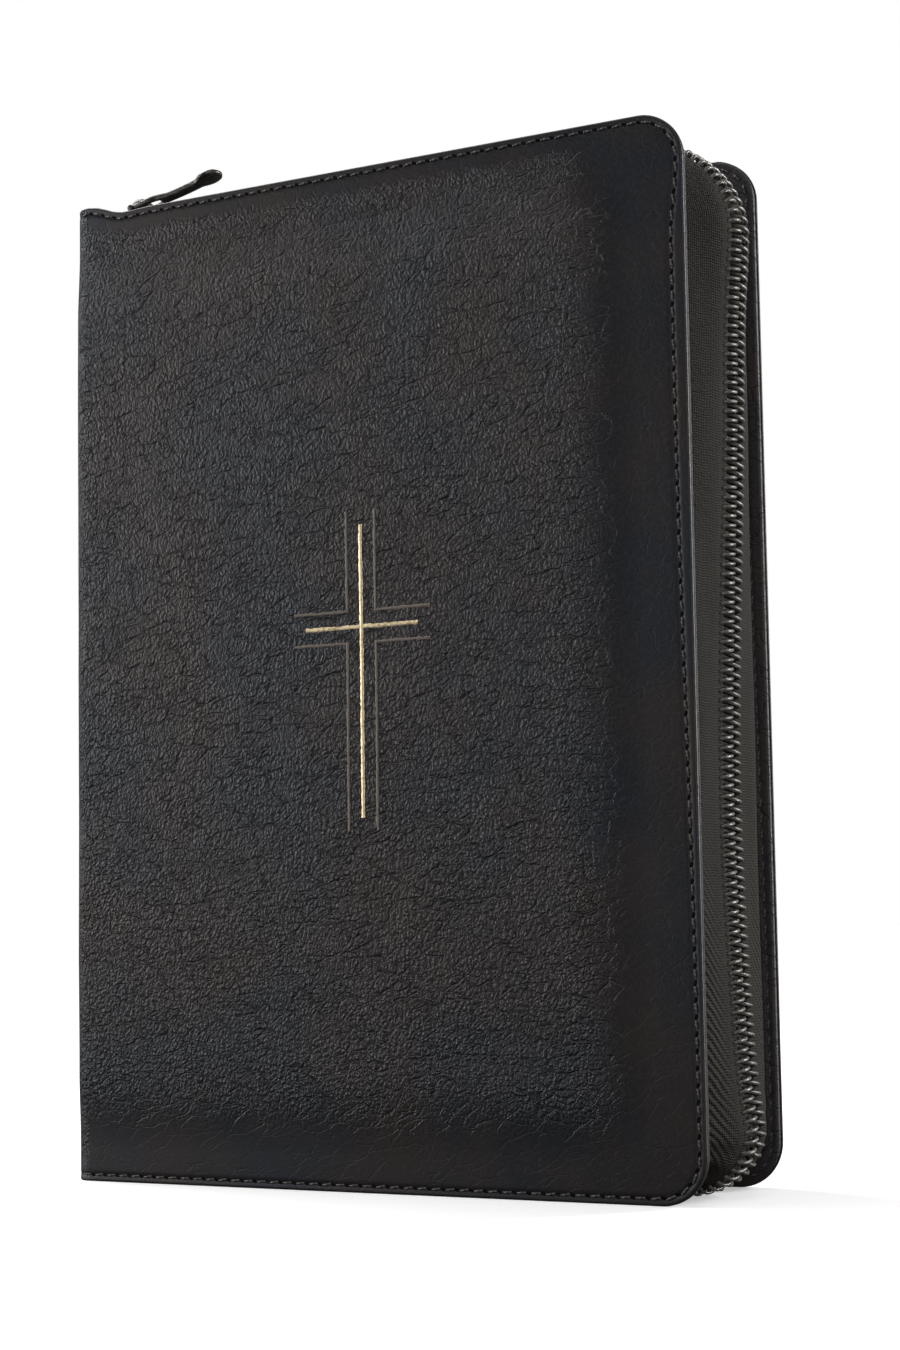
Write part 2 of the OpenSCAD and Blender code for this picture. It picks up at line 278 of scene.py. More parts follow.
def oval(count: int, width: float, height: float, power: float = 2.0) -> Array:
    """Points round a rounded box: |x/w|^power + |y/h|^power = 1.

    Args:
        count: number of points.
        width: full width.
        height: full height.
        power: 2 is an ellipse, more is squarer.
    Returns:
        count by 2 points, counter-clockwise.
    """
    a = np.arange(count) * 2 * math.pi / count
    c, s = np.cos(a), np.sin(a)
    k = 2.0 / power
    return np.stack([np.sign(c) * np.abs(c) ** k * width / 2, np.sign(s) * np.abs(s) ** k * height / 2], -1)


# ---------------------------------------------------------------- node tools and finishes


class Graph:
    """Short ways of adding shader nodes to one tree."""

    def __init__(self, tree: bpy.types.NodeTree) -> None:
        """Keeps the node tree that the nodes are added to."""
        self.tree = tree

    def node(self, kind: str, **settings: object) -> bpy.types.Node:
        """Adds a node.

        Args:
            kind: its type name after ShaderNode.
            settings: properties to set on it.
        Returns:
            The node.
        """
        made = self.tree.nodes.new(f"ShaderNode{kind}")
        for key, value in settings.items():
            setattr(made, key, value)
        return made

    def put(self, target: Socket, value: object) -> None:
        """Links a socket to an input, or sets the input to a plain value.

        Args:
            target: the input.
            value: a socket, a number, a colour or a vector.
        """
        if isinstance(value, bpy.types.NodeSocket):
            self.tree.links.new(value, target)
        elif value is not None:
            target.default_value = value

    def math(self, kind: str, a: object, b: object = None, c: object = None) -> Socket:
        """A Math node of that kind on up to three values.

        Args:
            kind: the operation.
            a: first value.
            b: second value.
            c: third value.
        Returns:
            The result.
        """
        made = self.node("Math", operation=kind)
        for target, value in zip(made.inputs, (a, b, c)):
            self.put(target, value)
        return made.outputs[0]

    def remap(self, value: object, lo: float, hi: float, to_lo: float = 0.0, to_hi: float = 1.0) -> Socket:
        """Eases a value from one range into another.

        Args:
            value: the value.
            lo: its low end.
            hi: its high end.
            to_lo: result at the low end.
            to_hi: result at the high end.
        Returns:
            The eased value.
        """
        made = self.node("MapRange", interpolation_type="SMOOTHSTEP")
        for target, number in zip(made.inputs, (value, lo, hi, to_lo, to_hi)):
            self.put(target, number)
        return made.outputs[0]

    def scaled(self, vector: object, size: Sequence[float], shift: Sequence[float] = (0, 0, 0)) -> Socket:
        """A vector multiplied by one size an axis and shifted.

        Args:
            vector: the vector.
            size: the multipliers.
            shift: added afterwards.
        Returns:
            The new vector.
        """
        made = self.node("VectorMath", operation="MULTIPLY_ADD")
        for target, value in zip(made.inputs, (vector, tuple(size), tuple(shift))):
            self.put(target, value)
        return made.outputs[0]

    def noise(
        self, vector: object, size: Sequence[float], detail: float = 2.0, rough: float = 0.5,
        shift: Sequence[float] = (0, 0, 0),
    ) -> Socket:
        """Soft noise from 0 to 1.

        Args:
            vector: where to read it.
            size: features in a unit along each axis.
            detail: number of finer layers.
            rough: strength of the finer layers.
            shift: added to the place, so that two noises differ.
        Returns:
            The value.
        """
        made = self.node("TexNoise", noise_dimensions="3D")
        self.put(made.inputs["Vector"], self.scaled(vector, size, shift))
        made.inputs["Scale"].default_value = 1.0
        made.inputs["Detail"].default_value = detail
        made.inputs["Roughness"].default_value = rough
        return made.outputs[0]

    def cells(self, vector: object, feature: str = "F1") -> Socket:
        """Distance inside a flat pattern of cells, one to a unit.

        Args:
            vector: where to read it.
            feature: F1 for the distance to a cell's point, DISTANCE_TO_EDGE for that to its border.
        Returns:
            The distance.
        """
        made = self.node("TexVoronoi", voronoi_dimensions="2D", feature=feature)
        self.put(made.inputs["Vector"], vector)
        made.inputs["Scale"].default_value = 1.0
        return made.outputs["Distance"]

    def wander(self, vector: object, scale: float, amount: float) -> Socket:
        """A vector pushed about by noise.

        Args:
            vector: the vector.
            scale: features of the noise in a unit.
            amount: how far it is pushed.
        Returns:
            The pushed vector.
        """
        noise = self.node("TexNoise", noise_dimensions="3D")
        self.put(noise.inputs["Vector"], vector)
        noise.inputs["Scale"].default_value = scale
        noise.inputs["Detail"].default_value = 2.0
        made = self.node("VectorMath", operation="MULTIPLY_ADD")
        self.put(made.inputs[0], noise.outputs["Color"])
        made.inputs[1].default_value = (amount, amount, amount)
        self.put(made.inputs[2], vector)
        return made.outputs[0]

    def wave(self, value: object, length: float) -> Socket:
        """A sine wave from -1 to 1 along a value.

        Args:
            value: the value.
            length: length of one wave, in the value's own unit.
        Returns:
            The wave.
        """
        return self.math("SINE", self.math("MULTIPLY", value, 2 * math.pi / length))

    def blend(self, share: object, a: object, b: object) -> Socket:
        """Mixes two colours.

        Args:
            share: how much of the second.
            a: first colour.
            b: second colour.
        Returns:
            The mixed colour.
        """
        made = self.node("Mix", data_type="RGBA")
        self.put(made.inputs[0], share)
        self.put(made.inputs[6], a)
        self.put(made.inputs[7], b)
        return made.outputs[2]

    def value(self, name: str) -> Socket:
        """A named value stored at the piece's points.

        Args:
            name: the value's name.
        Returns:
            The value.
        """
        return self.node("Attribute", attribute_name=name, attribute_type="GEOMETRY").outputs["Fac"]

    def uv(self) -> Socket:
        """Returns: the piece's own texture places, in metres."""
        return self.node("UVMap", uv_map="UVMap").outputs[0]

    def place(self) -> Socket:
        """Returns: the point's place on the piece, in metres."""
        return self.node("TexCoord").outputs["Object"]

    def bump(self, height: object, distance: float, strength: float = 1.0) -> Socket:
        """Turns a height into a normal.

        Args:
            height: the height, about 0 to 1.
            distance: metres that a height of 1 stands for.
            strength: share of the effect.
        Returns:
            The normal.
        """
        made = self.node("Bump")
        self.put(made.inputs["Height"], height)
        made.inputs["Distance"].default_value = distance
        made.inputs["Strength"].default_value = strength
        return made.outputs[0]

    def effect(self, kind: "Effect", place: Socket) -> bpy.types.Node:
        """Adds a shared effect.

        Args:
            kind: the effect.
            place: where on the surface to read it.
        Returns:
            The group node.
        """
        made = self.node("Group")
        made.node_tree = kind.group()
        self.put(made.inputs["Place"], place)
        return made

    def dress(self, shader: bpy.types.Node, tone: Socket, rough: Socket, normal: Socket) -> None:
        """Links the three things that change over every finish.

        Args:
            shader: the material's shader.
            tone: its base colour.
            rough: its roughness.
            normal: its normal.
        """
        self.put(shader.inputs["Base Color"], tone)
        self.put(shader.inputs["Roughness"], rough)
        self.put(shader.inputs["Normal"], normal)


@dataclass(frozen=True)
class Effect:
    """A pattern that finishes share, kept as one node group; each kind works out its own."""

    name: str = ""

    def group(self) -> bpy.types.NodeTree:
        """Returns: the effect's node group, built the first time that it is asked for."""
        if self.name in bpy.data.node_groups:
            return bpy.data.node_groups[self.name]
        tree = bpy.data.node_groups.new(self.name, "ShaderNodeTree")
        tree.interface.new_socket("Place", in_out="INPUT", socket_type="NodeSocketVector")
        graph = Graph(tree)
        entry = tree.nodes.new("NodeGroupInput")
        results = self.outputs(graph, entry.outputs["Place"])
        for key in results:
            tree.interface.new_socket(key, in_out="OUTPUT", socket_type="NodeSocketFloat")
        leave = tree.nodes.new("NodeGroupOutput")
        for key, value in results.items():
            graph.put(leave.inputs[key], value)
        return tree

    def outputs(self, g: Graph, place: Socket) -> dict[str, Socket]:
        """Works the pattern out.

        Args:
            g: the group's graph.
            place: where on the surface.
        Returns:
            The outputs by name, all of them values.
        """
        raise NotImplementedError(self.name)


@dataclass(frozen=True)
class LeatherGrain(Effect):
    """Pebbled grain with long wandering creases.

    Pebbles are cells about 0.7 mm wide, stretched upright and pushed about by noise, with half as
    large ones among them. Creases are the thin borders of much larger flat cells that lean, broken
    up by noise. Fine wrinkles are the borders of smaller ones.
    """

    name: str = "Leather grain"
    lean: float = -0.30
    crease_width: float = 0.062
    wrinkle_width: float = 0.11

    def outputs(self, g: Graph, place: Socket) -> dict[str, Socket]:
        """Height is the relief, Crease the dark lines, Pebble the cells and Mottle wide clouds.

        Args:
            g: the group's graph.
            place: where on the surface.
        Returns:
            Height, Crease, Pebble and Mottle.
        """
        pebble = g.cells(g.wander(g.scaled(place, (1350, 1150, 1)), 0.35, 1.5))
        tiny = g.cells(g.wander(g.scaled(place, (2600, 1900, 1)), 0.6, 1.0))
        leaning = g.node("VectorRotate", rotation_type="Z_AXIS")
        g.put(leaning.inputs["Vector"], place)
        leaning.inputs["Angle"].default_value = self.lean
        slow = g.wander(g.scaled(leaning.outputs[0], (165, 340, 1)), 0.9, 1.3)
        slow = g.wander(slow, 5.0, 0.16)
        border = g.remap(g.cells(slow, "DISTANCE_TO_EDGE"), 0.0, self.crease_width)
        gaps = g.remap(g.noise(place, (120, 260, 1), shift=(4.0, 1.0, 0.0)), 0.36, 0.52)
        crease = g.math("MULTIPLY", g.math("SUBTRACT", 1.0, border), gaps)
        quick = g.wander(g.scaled(leaning.outputs[0], (320, 560, 1), (9, 3, 0)), 1.0, 1.2)
        border = g.remap(g.cells(quick, "DISTANCE_TO_EDGE"), 0.0, self.wrinkle_width)
        patches = g.remap(g.noise(place, (90, 120, 1), 3.0, shift=(2, 7, 0)), 0.38, 0.60)
        wrinkle = g.math("MULTIPLY", g.math("SUBTRACT", 1.0, border), patches)
        depth = g.remap(g.noise(place, (95, 80, 1), shift=(5, 5, 0)), 0.32, 0.68, 0.5, 1.0)
        height = g.math("MULTIPLY", g.math("MULTIPLY_ADD", pebble, -0.75, 0.75), depth)
        for mark, share in ((tiny, -0.30), (crease, -1.10), (wrinkle, -0.50)):
            height = g.math("MULTIPLY_ADD", mark, share, height)
        return {
            "Height": height,
            "Crease": g.math("MAXIMUM", crease, g.math("MULTIPLY", wrinkle, 0.75)),
            "Pebble": pebble,
            "Mottle": g.noise(place, (38, 30, 1), shift=(1, 2, 3)),
        }


@dataclass(frozen=True)
class ClothRib(Effect):
    """Woven tape: nearly level ribs broken up by noise, with fine threads running along it."""

    name: str = "Woven rib"
    zigzag_width: float = 0.0042
    rib_pitch: float = 0.00050
    warp_pitch: float = 0.00045

    def outputs(self, g: Graph, place: Socket) -> dict[str, Socket]:
        """Ribs are sine waves along the tape that zigzag across it; warp threads run along it.

        Args:
            g: the group's graph.
            place: where on the surface.
        Returns:
            Height and Thread.
        """
        parts = g.node("SeparateXYZ")
        g.put(parts.inputs[0], place)
        across, along = parts.outputs[0], parts.outputs[1]
        zigzag = g.math("PINGPONG", g.math("MULTIPLY", across, 1.0 / self.zigzag_width), 0.5)
        rib = g.math("MULTIPLY_ADD", zigzag, 0.7, g.math("MULTIPLY", along, 1.0 / self.rib_pitch))
        rib = g.math("MULTIPLY_ADD", g.noise(place, (900, 500, 1), 3.0), 0.8, rib)
        warp = g.wave(across, self.warp_pitch)
        height = g.math("MULTIPLY_ADD", g.wave(rib, 1.0), 0.26, g.math("MULTIPLY_ADD", warp, 0.16, 0.5))
        fuzz = g.noise(place, (2600, 2600, 2600))
        height = g.math("MULTIPLY_ADD", g.math("SUBTRACT", fuzz, 0.5), 0.9, height)
        return {"Height": height, "Thread": fuzz}


@dataclass(frozen=True)
class HandlingWear(Effect):
    """Cloudy polish and fine scratches."""

    name: str = "Handling wear"

    def outputs(self, g: Graph, place: Socket) -> dict[str, Socket]:
        """Clouds are wide soft noise, and scratches the peaks of a long narrow one.

        Args:
            g: the group's graph.
            place: where on the surface.
        Returns:
            Cloud and Scratch.
        """
        lines = g.noise(place, (300, 2200, 4000), 3.0, 0.6)
        return {"Cloud": g.noise(place, (60, 60, 60), 4.0), "Scratch": g.remap(lines, 0.52, 0.66)}


@dataclass(frozen=True)
class PageLines(Effect):
    """Edges of many thin leaves: streaks that change quickly across the thickness."""

    name: str = "Page lines"

    def outputs(self, g: Graph, place: Socket) -> dict[str, Socket]:
        """Leaf is one streak for a few leaves, and Wave a slower swell of the whole block.

        Args:
            g: the group's graph.
            place: where on the surface.
        Returns:
            Leaf and Wave.
        """
        return {"Leaf": g.noise(place, (14, 5200, 14), 2.0, 0.7), "Wave": g.noise(place, (30, 420, 30))}


Colour = tuple[float, float, float, float]
BLACK: Colour = (0.0, 0.0, 0.0, 1.0)
WHITE: Colour = (1.0, 1.0, 1.0, 1.0)


@dataclass(frozen=True)
class Finish:
    """A material: a name, a main colour and how rough it is. Each kind adds its own detail."""

    name: str
    colour: Colour
    rough: float = 0.5

    def material(self) -> bpy.types.Material:
        """Returns: the material, built the first time that it is asked for."""
        if self.name in bpy.data.materials:
            return bpy.data.materials[self.name]
        made = bpy.data.materials.new(self.name)
        made.use_nodes = True
        made.node_tree.nodes.clear()
        graph = Graph(made.node_tree)
        shader = graph.node("BsdfPrincipled")
        leave = graph.node("OutputMaterial")
        graph.put(leave.inputs["Surface"], shader.outputs[0])
        made.diffuse_color = self.colour
        self.detail(graph, shader)
        return made

    def shade(self, *shares: float) -> Colour:
        """The main colour made darker or lighter.

        Args:
            shares: one multiplier for all of it, or one each for red, green and blue.
        Returns:
            The new colour.
        """
        each = shares * 3 if len(shares) == 1 else shares
        return tuple(c * k for c, k in zip(self.colour[:3], each)) + (1.0,)

    def detail(self, g: Graph, shader: bpy.types.Node) -> None:
        """Links what changes over the surface; each kind of finish has its own.

        Args:
            g: the material's graph.
            shader: its shader.
        """
        raise NotImplementedError(self.name)


@dataclass(frozen=True)
class LeatherFinish(Finish):
    """Pebbled leather. The piece's "panel" value says how strong the grain is, "cut" is 1 on a cut edge."""

    cool: Colour = (0.0098, 0.0104, 0.0134, 1.0)
    grain: float = 0.00036
    edge: Colour = (0.026, 0.025, 0.023, 1.0)
    # painted shade: the colour that the creases and wrinkles are darkened to
    crease_shade: Colour = (0.003, 0.003, 0.0035, 1.0)
    warm_sheen: Colour = (1.0, 0.92, 0.91, 1.0)
    cool_sheen: Colour = (0.87, 0.90, 1.0, 1.0)

    def detail(self, g: Graph, shader: bpy.types.Node) -> None:
        """Warm and cool clouds, painted shade in the creases, pebbled relief and a dull cut edge.

        Args:
            g: the material's graph.
            shader: its shader.
        """
        skin = g.effect(LeatherGrain(), g.uv())
        wear = g.effect(HandlingWear(), g.place())
        panel, cut = g.value("panel"), g.value("cut")
        strong = g.remap(panel, 0.10, 1.0, 0.05, 1.0)
        tone = g.blend(g.remap(skin.outputs["Mottle"], 0.36, 0.62), self.colour, self.cool)
        tone = g.blend(g.remap(wear.outputs["Cloud"], 0.50, 0.70), tone, self.shade(1.28, 1.12, 1.05))
        # painted shade: creases and wrinkles, which are also in the relief, are darkened towards the crease
        # shade colour
        dark = g.math("MULTIPLY", skin.outputs["Crease"], g.math("MULTIPLY", strong, 0.93))
        tone = g.blend(cut, g.blend(dark, tone, self.crease_shade), self.edge)
        rough = g.math("MULTIPLY_ADD", skin.outputs["Pebble"], 0.16, self.rough - 0.06)
        rough = g.math("MULTIPLY_ADD", dark, 0.25, rough)
        rough = g.math("MULTIPLY_ADD", wear.outputs["Cloud"], 0.08, rough)
        g.dress(shader, tone, rough, g.bump(g.math("MULTIPLY", skin.outputs["Height"], strong), self.grain))
        g.put(shader.inputs["Specular IOR Level"], g.math("MULTIPLY_ADD", cut, -0.42, 0.5))
        sheen = g.blend(g.remap(skin.outputs["Mottle"], 0.40, 0.60), self.warm_sheen, self.cool_sheen)
        g.put(shader.inputs["Specular Tint"], sheen)


@dataclass(frozen=True)
class ThreadFinish(Finish):
    """Twisted sewing thread, its plies a fine slanting rib along the stitch."""

    def detail(self, g: Graph, shader: bpy.types.Node) -> None:
        """Light plies with painted shade in the gaps between them.

        Args:
            g: the material's graph.
            shader: its shader.
        """
        parts = g.node("SeparateXYZ")
        g.put(parts.inputs[0], g.uv())
        lay = g.math("MULTIPLY_ADD", parts.outputs[0], 900.0, g.math("MULTIPLY", parts.outputs[1], 2300.0))
        ply = g.math("MULTIPLY_ADD", g.wave(lay, 2.0), 0.5, 0.5)
        rough = g.math("MULTIPLY_ADD", ply, -0.1, self.rough)
        # painted shade: the gaps between the plies are coloured darker
        g.dress(shader, g.blend(ply, self.shade(0.35), self.colour), rough, g.bump(ply, 0.00008))


@dataclass(frozen=True)
class TapeFinish(Finish):
    """Woven zip tape with a sheen along its ribs, painted shade between them, and gathers where "gather" is
    above 0.
    """

    fold_pitch: float = 0.0019

    def detail(self, g: Graph, shader: bpy.types.Node) -> None:
        """Ribs with painted shade in the gaps between them, darker faded patches, and slanting folds where
        the tape gathers.

        Args:
            g: the material's graph.
            shader: its shader.
        """
        uv = g.uv()
        weave = g.effect(ClothRib(), uv)
        # painted shade: low places of the weave take this darker colour, which also tints the faded patches
        dark = self.shade(0.28)
        tone = g.blend(g.remap(weave.outputs["Height"], 0.30, 0.75), dark, self.colour)
        faded = g.remap(g.noise(uv, (90, 60, 1), 3.0), 0.35, 0.7, 0.0, 0.35)
        parts = g.node("SeparateXYZ")
        g.put(parts.inputs[0], g.wander(uv, 300.0, 0.0006))
        fold = g.wave(g.math("MULTIPLY_ADD", parts.outputs[0], 0.9, parts.outputs[1]), self.fold_pitch)
        fold = g.math("MULTIPLY", fold, g.value("gather"))
        height = g.math("MULTIPLY_ADD", fold, 0.9, weave.outputs["Height"])
        rough = g.math("MULTIPLY_ADD", weave.outputs["Thread"], 0.2, self.rough)
        g.dress(shader, g.blend(faded, tone, dark), rough, g.bump(height, 0.00022))
        shader.inputs["Specular IOR Level"].default_value = 0.3


@dataclass(frozen=True)
class PlainFinish(Finish):
    """Smooth plastic or metal with clouded polish and fine scratches."""

    metal: float = 0.0
    worn: Colour = (0.3, 0.29, 0.27, 1.0)
    wear: float = 0.3
    shine: float = 0.5

    def detail(self, g: Graph, shader: bpy.types.Node) -> None:
        """Rubbed scratches and a cloudy polish.

        Args:
            g: the material's graph.
            shader: its shader.
        """
        marks = g.effect(HandlingWear(), g.place())
        tone = g.blend(g.math("MULTIPLY", marks.outputs["Scratch"], self.wear), self.colour, self.worn)
        rough = g.math("MULTIPLY_ADD", marks.outputs["Cloud"], 0.22, self.rough - 0.1)
        g.dress(shader, tone, rough, g.bump(marks.outputs["Scratch"], 0.00003, 0.5))
        shader.inputs["Metallic"].default_value = self.metal
        shader.inputs["Specular IOR Level"].default_value = self.shine


@dataclass(frozen=True)
class FoilFinish(Finish):
    """Stamped foil on grained leather: darker flecks where the grain breaks it, and a soft relief."""

    metal: float = 0.8
    fleck: Colour = (0.25, 0.16, 0.05, 1.0)
    broken: float = 0.5

    def detail(self, g: Graph, shader: bpy.types.Node) -> None:
        """Dark flecks in patches, over a fine grit.

        Args:
            g: the material's graph.
            shader: its shader.
        """
        place = g.place()
        grit = g.noise(place, (1500, 1500, 2600), 3.0, 0.6)
        patch = g.noise(place, (260, 260, 420))
        mark = g.math("MULTIPLY", g.remap(g.math("MULTIPLY_ADD", patch, 0.6, grit), 0.76, 1.0), self.broken)
        rough = g.math("MULTIPLY_ADD", grit, 0.3, self.rough - 0.1)
        g.dress(shader, g.blend(mark, self.colour, self.fleck), rough, g.bump(grit, 0.00012))
        shader.inputs["Metallic"].default_value = self.metal


@dataclass(frozen=True)
class PaperFinish(Finish):
    """Paper: faint fibres and clouds, or the stacked edges of thin leaves under gilt."""

    edge: bool = False
    metal: float = 0.0

    def detail(self, g: Graph, shader: bpy.types.Node) -> None:
        """Fibres on a flat face, or streaks of single leaves on an edge.

        Args:
            g: the material's graph.
            shader: its shader.
        """
        place = g.place()
        fibre = g.noise(place, (900, 900, 900), 3.0)
        share, deep, height, relief = fibre, 0.90, fibre, 0.00002
        if self.edge:
            lines = g.effect(PageLines(), place)
            share, deep = g.remap(lines.outputs["Leaf"], 0.35, 0.6), 0.45
            height = g.math("MULTIPLY_ADD", lines.outputs["Wave"], 0.6, lines.outputs["Leaf"])
            relief = 0.00012
        rough = g.math("MULTIPLY_ADD", fibre, 0.12, self.rough)
        g.dress(shader, g.blend(share, self.shade(deep), self.colour), rough, g.bump(height, relief))
        shader.inputs["Metallic"].default_value = self.metal


@dataclass(frozen=True)
class BandFinish(Finish):
    """Silk end band: two colours of thread by turns, each with a fine rib."""

    second: Colour = (0.05, 0.045, 0.045, 1.0)
    turn_pitch: float = 0.0022
    rib_pitch: float = 0.00045

    def detail(self, g: Graph, shader: bpy.types.Node) -> None:
        """Stripes across the band, and a rib for each thread.

        Args:
            g: the material's graph.
            shader: its shader.
        """
        parts = g.node("SeparateXYZ")
        g.put(parts.inputs[0], g.place())
        rib = g.wave(parts.outputs[1], self.rib_pitch)
        stripe = g.remap(g.wave(parts.outputs[1], self.turn_pitch), -0.1, 0.1)
        rough = g.math("MULTIPLY_ADD", rib, 0.08, self.rough)
        g.dress(shader, g.blend(stripe, self.colour, self.second), rough, g.bump(rib, 0.00006))


@dataclass(frozen=True)
class FloorFinish(Finish):
    """White paper floor whose shadows stay faint under a painted glow, which is weaker near the book."""

    glow: float = 0.42
    dim: Colour = (0.12, 0.12, 0.12, 1.0)

    def detail(self, g: Graph, shader: bpy.types.Node) -> None:
        """Cloudy white where the camera sees it, dim to the lamps, with a painted glow that is weaker near
        the book and full further off.

        Args:
            g: the material's graph.
            shader: its shader.
        """
        cloud = g.noise(g.place(), (8, 8, 8), 3.0)
        seen = g.node("LightPath").outputs["Is Camera Ray"]
        tone = g.blend(seen, self.dim, g.blend(cloud, self.shade(0.97), self.colour))
        g.put(shader.inputs["Base Color"], tone)
        g.put(shader.inputs["Roughness"], g.math("MULTIPLY_ADD", cloud, 0.1, self.rough))
        far = g.node("VectorMath", operation="LENGTH")
        g.put(far.inputs[0], g.place())
        # painted light: the floor glows for the camera, at 0.42 within 0.12 m of the middle and fully past
        # 0.5 m
        glow = g.math("MULTIPLY", seen, g.remap(far.outputs["Value"], 0.12, 0.5, self.glow, 1.0))
        g.put(shader.inputs["Emission Color"], g.blend(glow, BLACK, WHITE))
        shader.inputs["Emission Strength"].default_value = 1.0
        shader.inputs["Specular IOR Level"].default_value = 0.1


LEATHER = LeatherFinish("Pebbled leather", (0.0138, 0.0115, 0.0113, 1.0), 0.40)
LINING = LeatherFinish(
    "Inner leather", (0.042, 0.035, 0.034, 1.0), 0.50, cool=(0.035, 0.031, 0.033, 1.0), grain=0.00010
)
# painted shade: near-black finish of the flat discs that stand for the shade inside the needle holes
HOLE_SHADE = PlainFinish("Needle hole shade", (0.0015, 0.0015, 0.0015, 1.0), 0.8, wear=0.05, shine=0.1)
THREAD = ThreadFinish("Sewing thread", (0.12, 0.112, 0.11, 1.0), 0.42)
TAPE = TapeFinish("Zip tape", (0.040, 0.034, 0.0245, 1.0), 0.75)
COIL = PlainFinish("Zip coil", (0.125, 0.115, 0.100, 1.0), 0.34, worn=(0.26, 0.24, 0.215, 1.0), shine=0.75)
METAL = PlainFinish("Gunmetal", (0.085, 0.080, 0.074, 1.0), 0.34, metal=0.85, worn=(0.42, 0.40, 0.37, 1.0))
GOLD = FoilFinish("Gold foil", (0.95, 0.78, 0.50, 1.0), 0.40)
GREY_FOIL = FoilFinish(
    "Taupe foil", (0.19, 0.155, 0.13, 1.0), 0.5, metal=0.1, fleck=(0.10, 0.08, 0.065, 1.0), broken=0.3
)
PAPER = PaperFinish("Thin paper", (0.86, 0.83, 0.75, 1.0), 0.75)
GILT = PaperFinish("Gilt page edges", (0.80, 0.58, 0.26, 1.0), 0.34, edge=True, metal=0.75)
ENDPAPER = PaperFinish("Endpaper", (0.055, 0.053, 0.052, 1.0), 0.7)
BOARD = PaperFinish("Grey board", (0.30, 0.28, 0.25, 1.0), 0.8)
SPINE_PAPER = PaperFinish("Spine paper", (0.50, 0.40, 0.27, 1.0), 0.8)
GAUZE = TapeFinish("Gauze", (0.55, 0.50, 0.40, 1.0), 0.8)
END_BAND = BandFinish("End band", (0.75, 0.72, 0.65, 1.0), 0.6)
FLOOR = FloorFinish("Studio floor", (0.9, 0.9, 0.9, 1.0), 0.8)


# ---------------------------------------------------------------- the book's frame


@dataclass(frozen=True)
class BookFrame:
    """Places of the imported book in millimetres, and the few radii that a box can't show."""

    spine_x: float
    hinge_x: float
    edge_x: float
    height: float
    half_t: float
    margin_y: float
    seam_y: float
    inner_y: float
    panel_x: float
    panel_low: float
    panel_high: float
    page_x: float
    gutter_x: float
    page_end_x: float
    page_low: float
    page_high: float
    chain_x: float
    chain_head: float
    chain_tail: float
    chain_start: float
    corner_r: float = 9.0
    chain_r: float = 21.0
    chain_tail_r: float = 12.0
    fold_before: float = 2.5
    fold_after: float = 3.0

    @staticmethod
    def read() -> "BookFrame":
        """Returns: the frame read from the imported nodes' boxes."""
        wall, half_chain = 0.9, 1.25
        return BookFrame(
            spine_x=low("spine_leather")[0],
            hinge_x=high("spine_leather")[0],
            edge_x=high("front_leather")[0],
            height=high("front_leather")[2],
            half_t=-low("front_leather")[1],
            margin_y=-high("front_stitching")[1],
            seam_y=-low("front_lining")[1],
            inner_y=-high("front_lining")[1],
            panel_x=high("front_board")[0] + wall,
            panel_low=low("front_board")[2] - wall,
            panel_high=high("front_board")[2] + wall,
            page_x=low("section_1")[0],
            gutter_x=low("leaves_1")[0],
            page_end_x=high("section_1")[0],
            page_low=low("section_1")[2],
            page_high=high("section_1")[2],
            chain_x=high("front_zip_teeth")[0] - half_chain,
            chain_head=high("front_head_teeth")[2] - half_chain,
            chain_tail=low("front_zip_teeth")[2] + half_chain,
            chain_start=low("front_zip_tape")[0],
        )

    def lift(self, x: Array, z: Array) -> Array:
        """How far the head edge rises beside the spine, where the cover rolls over.

        The edge stands 1.9 mm high for the first 4 mm, eases down past the slider to 0.25 mm below
        its line, and comes back to it; the effect fades over 16 mm down the cover.
        Args:
            x: places along the cover.
            z: heights.
        Returns:
            The rise in millimetres.
        """
        fade = 16.0
        s = x - self.spine_x
        rise = 1.9 * (1 - smooth((s - 4.0) / 8.5)) - 0.25 * bell(s, 13.5, 4.0)
        return rise * smooth((z - self.height + fade) / fade)

    def outline_x(self, z: Array) -> Array:
        """Fore-edge of a cover at each height: straight, with a quarter circle at both corners.

        Args:
            z: heights.
        Returns:
            X of the edge.
        """
        r = self.corner_r
        into = np.maximum(np.maximum(z - (self.height - r), r - z), 0.0)
        return self.edge_x - r + np.sqrt(np.maximum(r * r - into * into, 0.0))

    def inset(self, x: Array, z: Array) -> Array:
        """Distance in from the cover's outline along head, fore-edge and tail.

        It is the least of the distances to the three edges, or the corner's radius less the
        distance to the corner's middle.
        Args:
            x: places along the cover.
            z: heights.
        Returns:
            The distances, below 0 outside the outline.
        """
        r, top = self.corner_r, self.height
        end = np.minimum(top - z, z)
        plain = np.minimum(self.edge_x - x, end)
        dx, dz = x - (self.edge_x - r), r - end
        corner = (dx > 0) & (dz > 0)
        return np.where(corner, r - np.hypot(np.maximum(dx, 0), np.maximum(dz, 0)), plain)

    def panel(self, x: Array, z: Array) -> Array:
        """Share of the padded panel's rise: 0 on the margin, 1 on the panel, eased over 16 mm.

        The panel's corners are rounded boxes: distance^2.6 = side^2.6 + end^2.6.
        Args:
            x: places along the cover.
            z: heights.
        Returns:
            The share at each place.
        """
        corner, power, past, shoulder = 9.0, 2.6, 5.0, 16.0
        side = np.maximum(x - (self.panel_x - corner), 0.0)
        end = np.maximum(np.maximum(z - (self.panel_high - corner), self.panel_low + corner - z), 0.0)
        return smooth((corner - (side**power + end**power) ** (1 / power) + past) / shoulder)


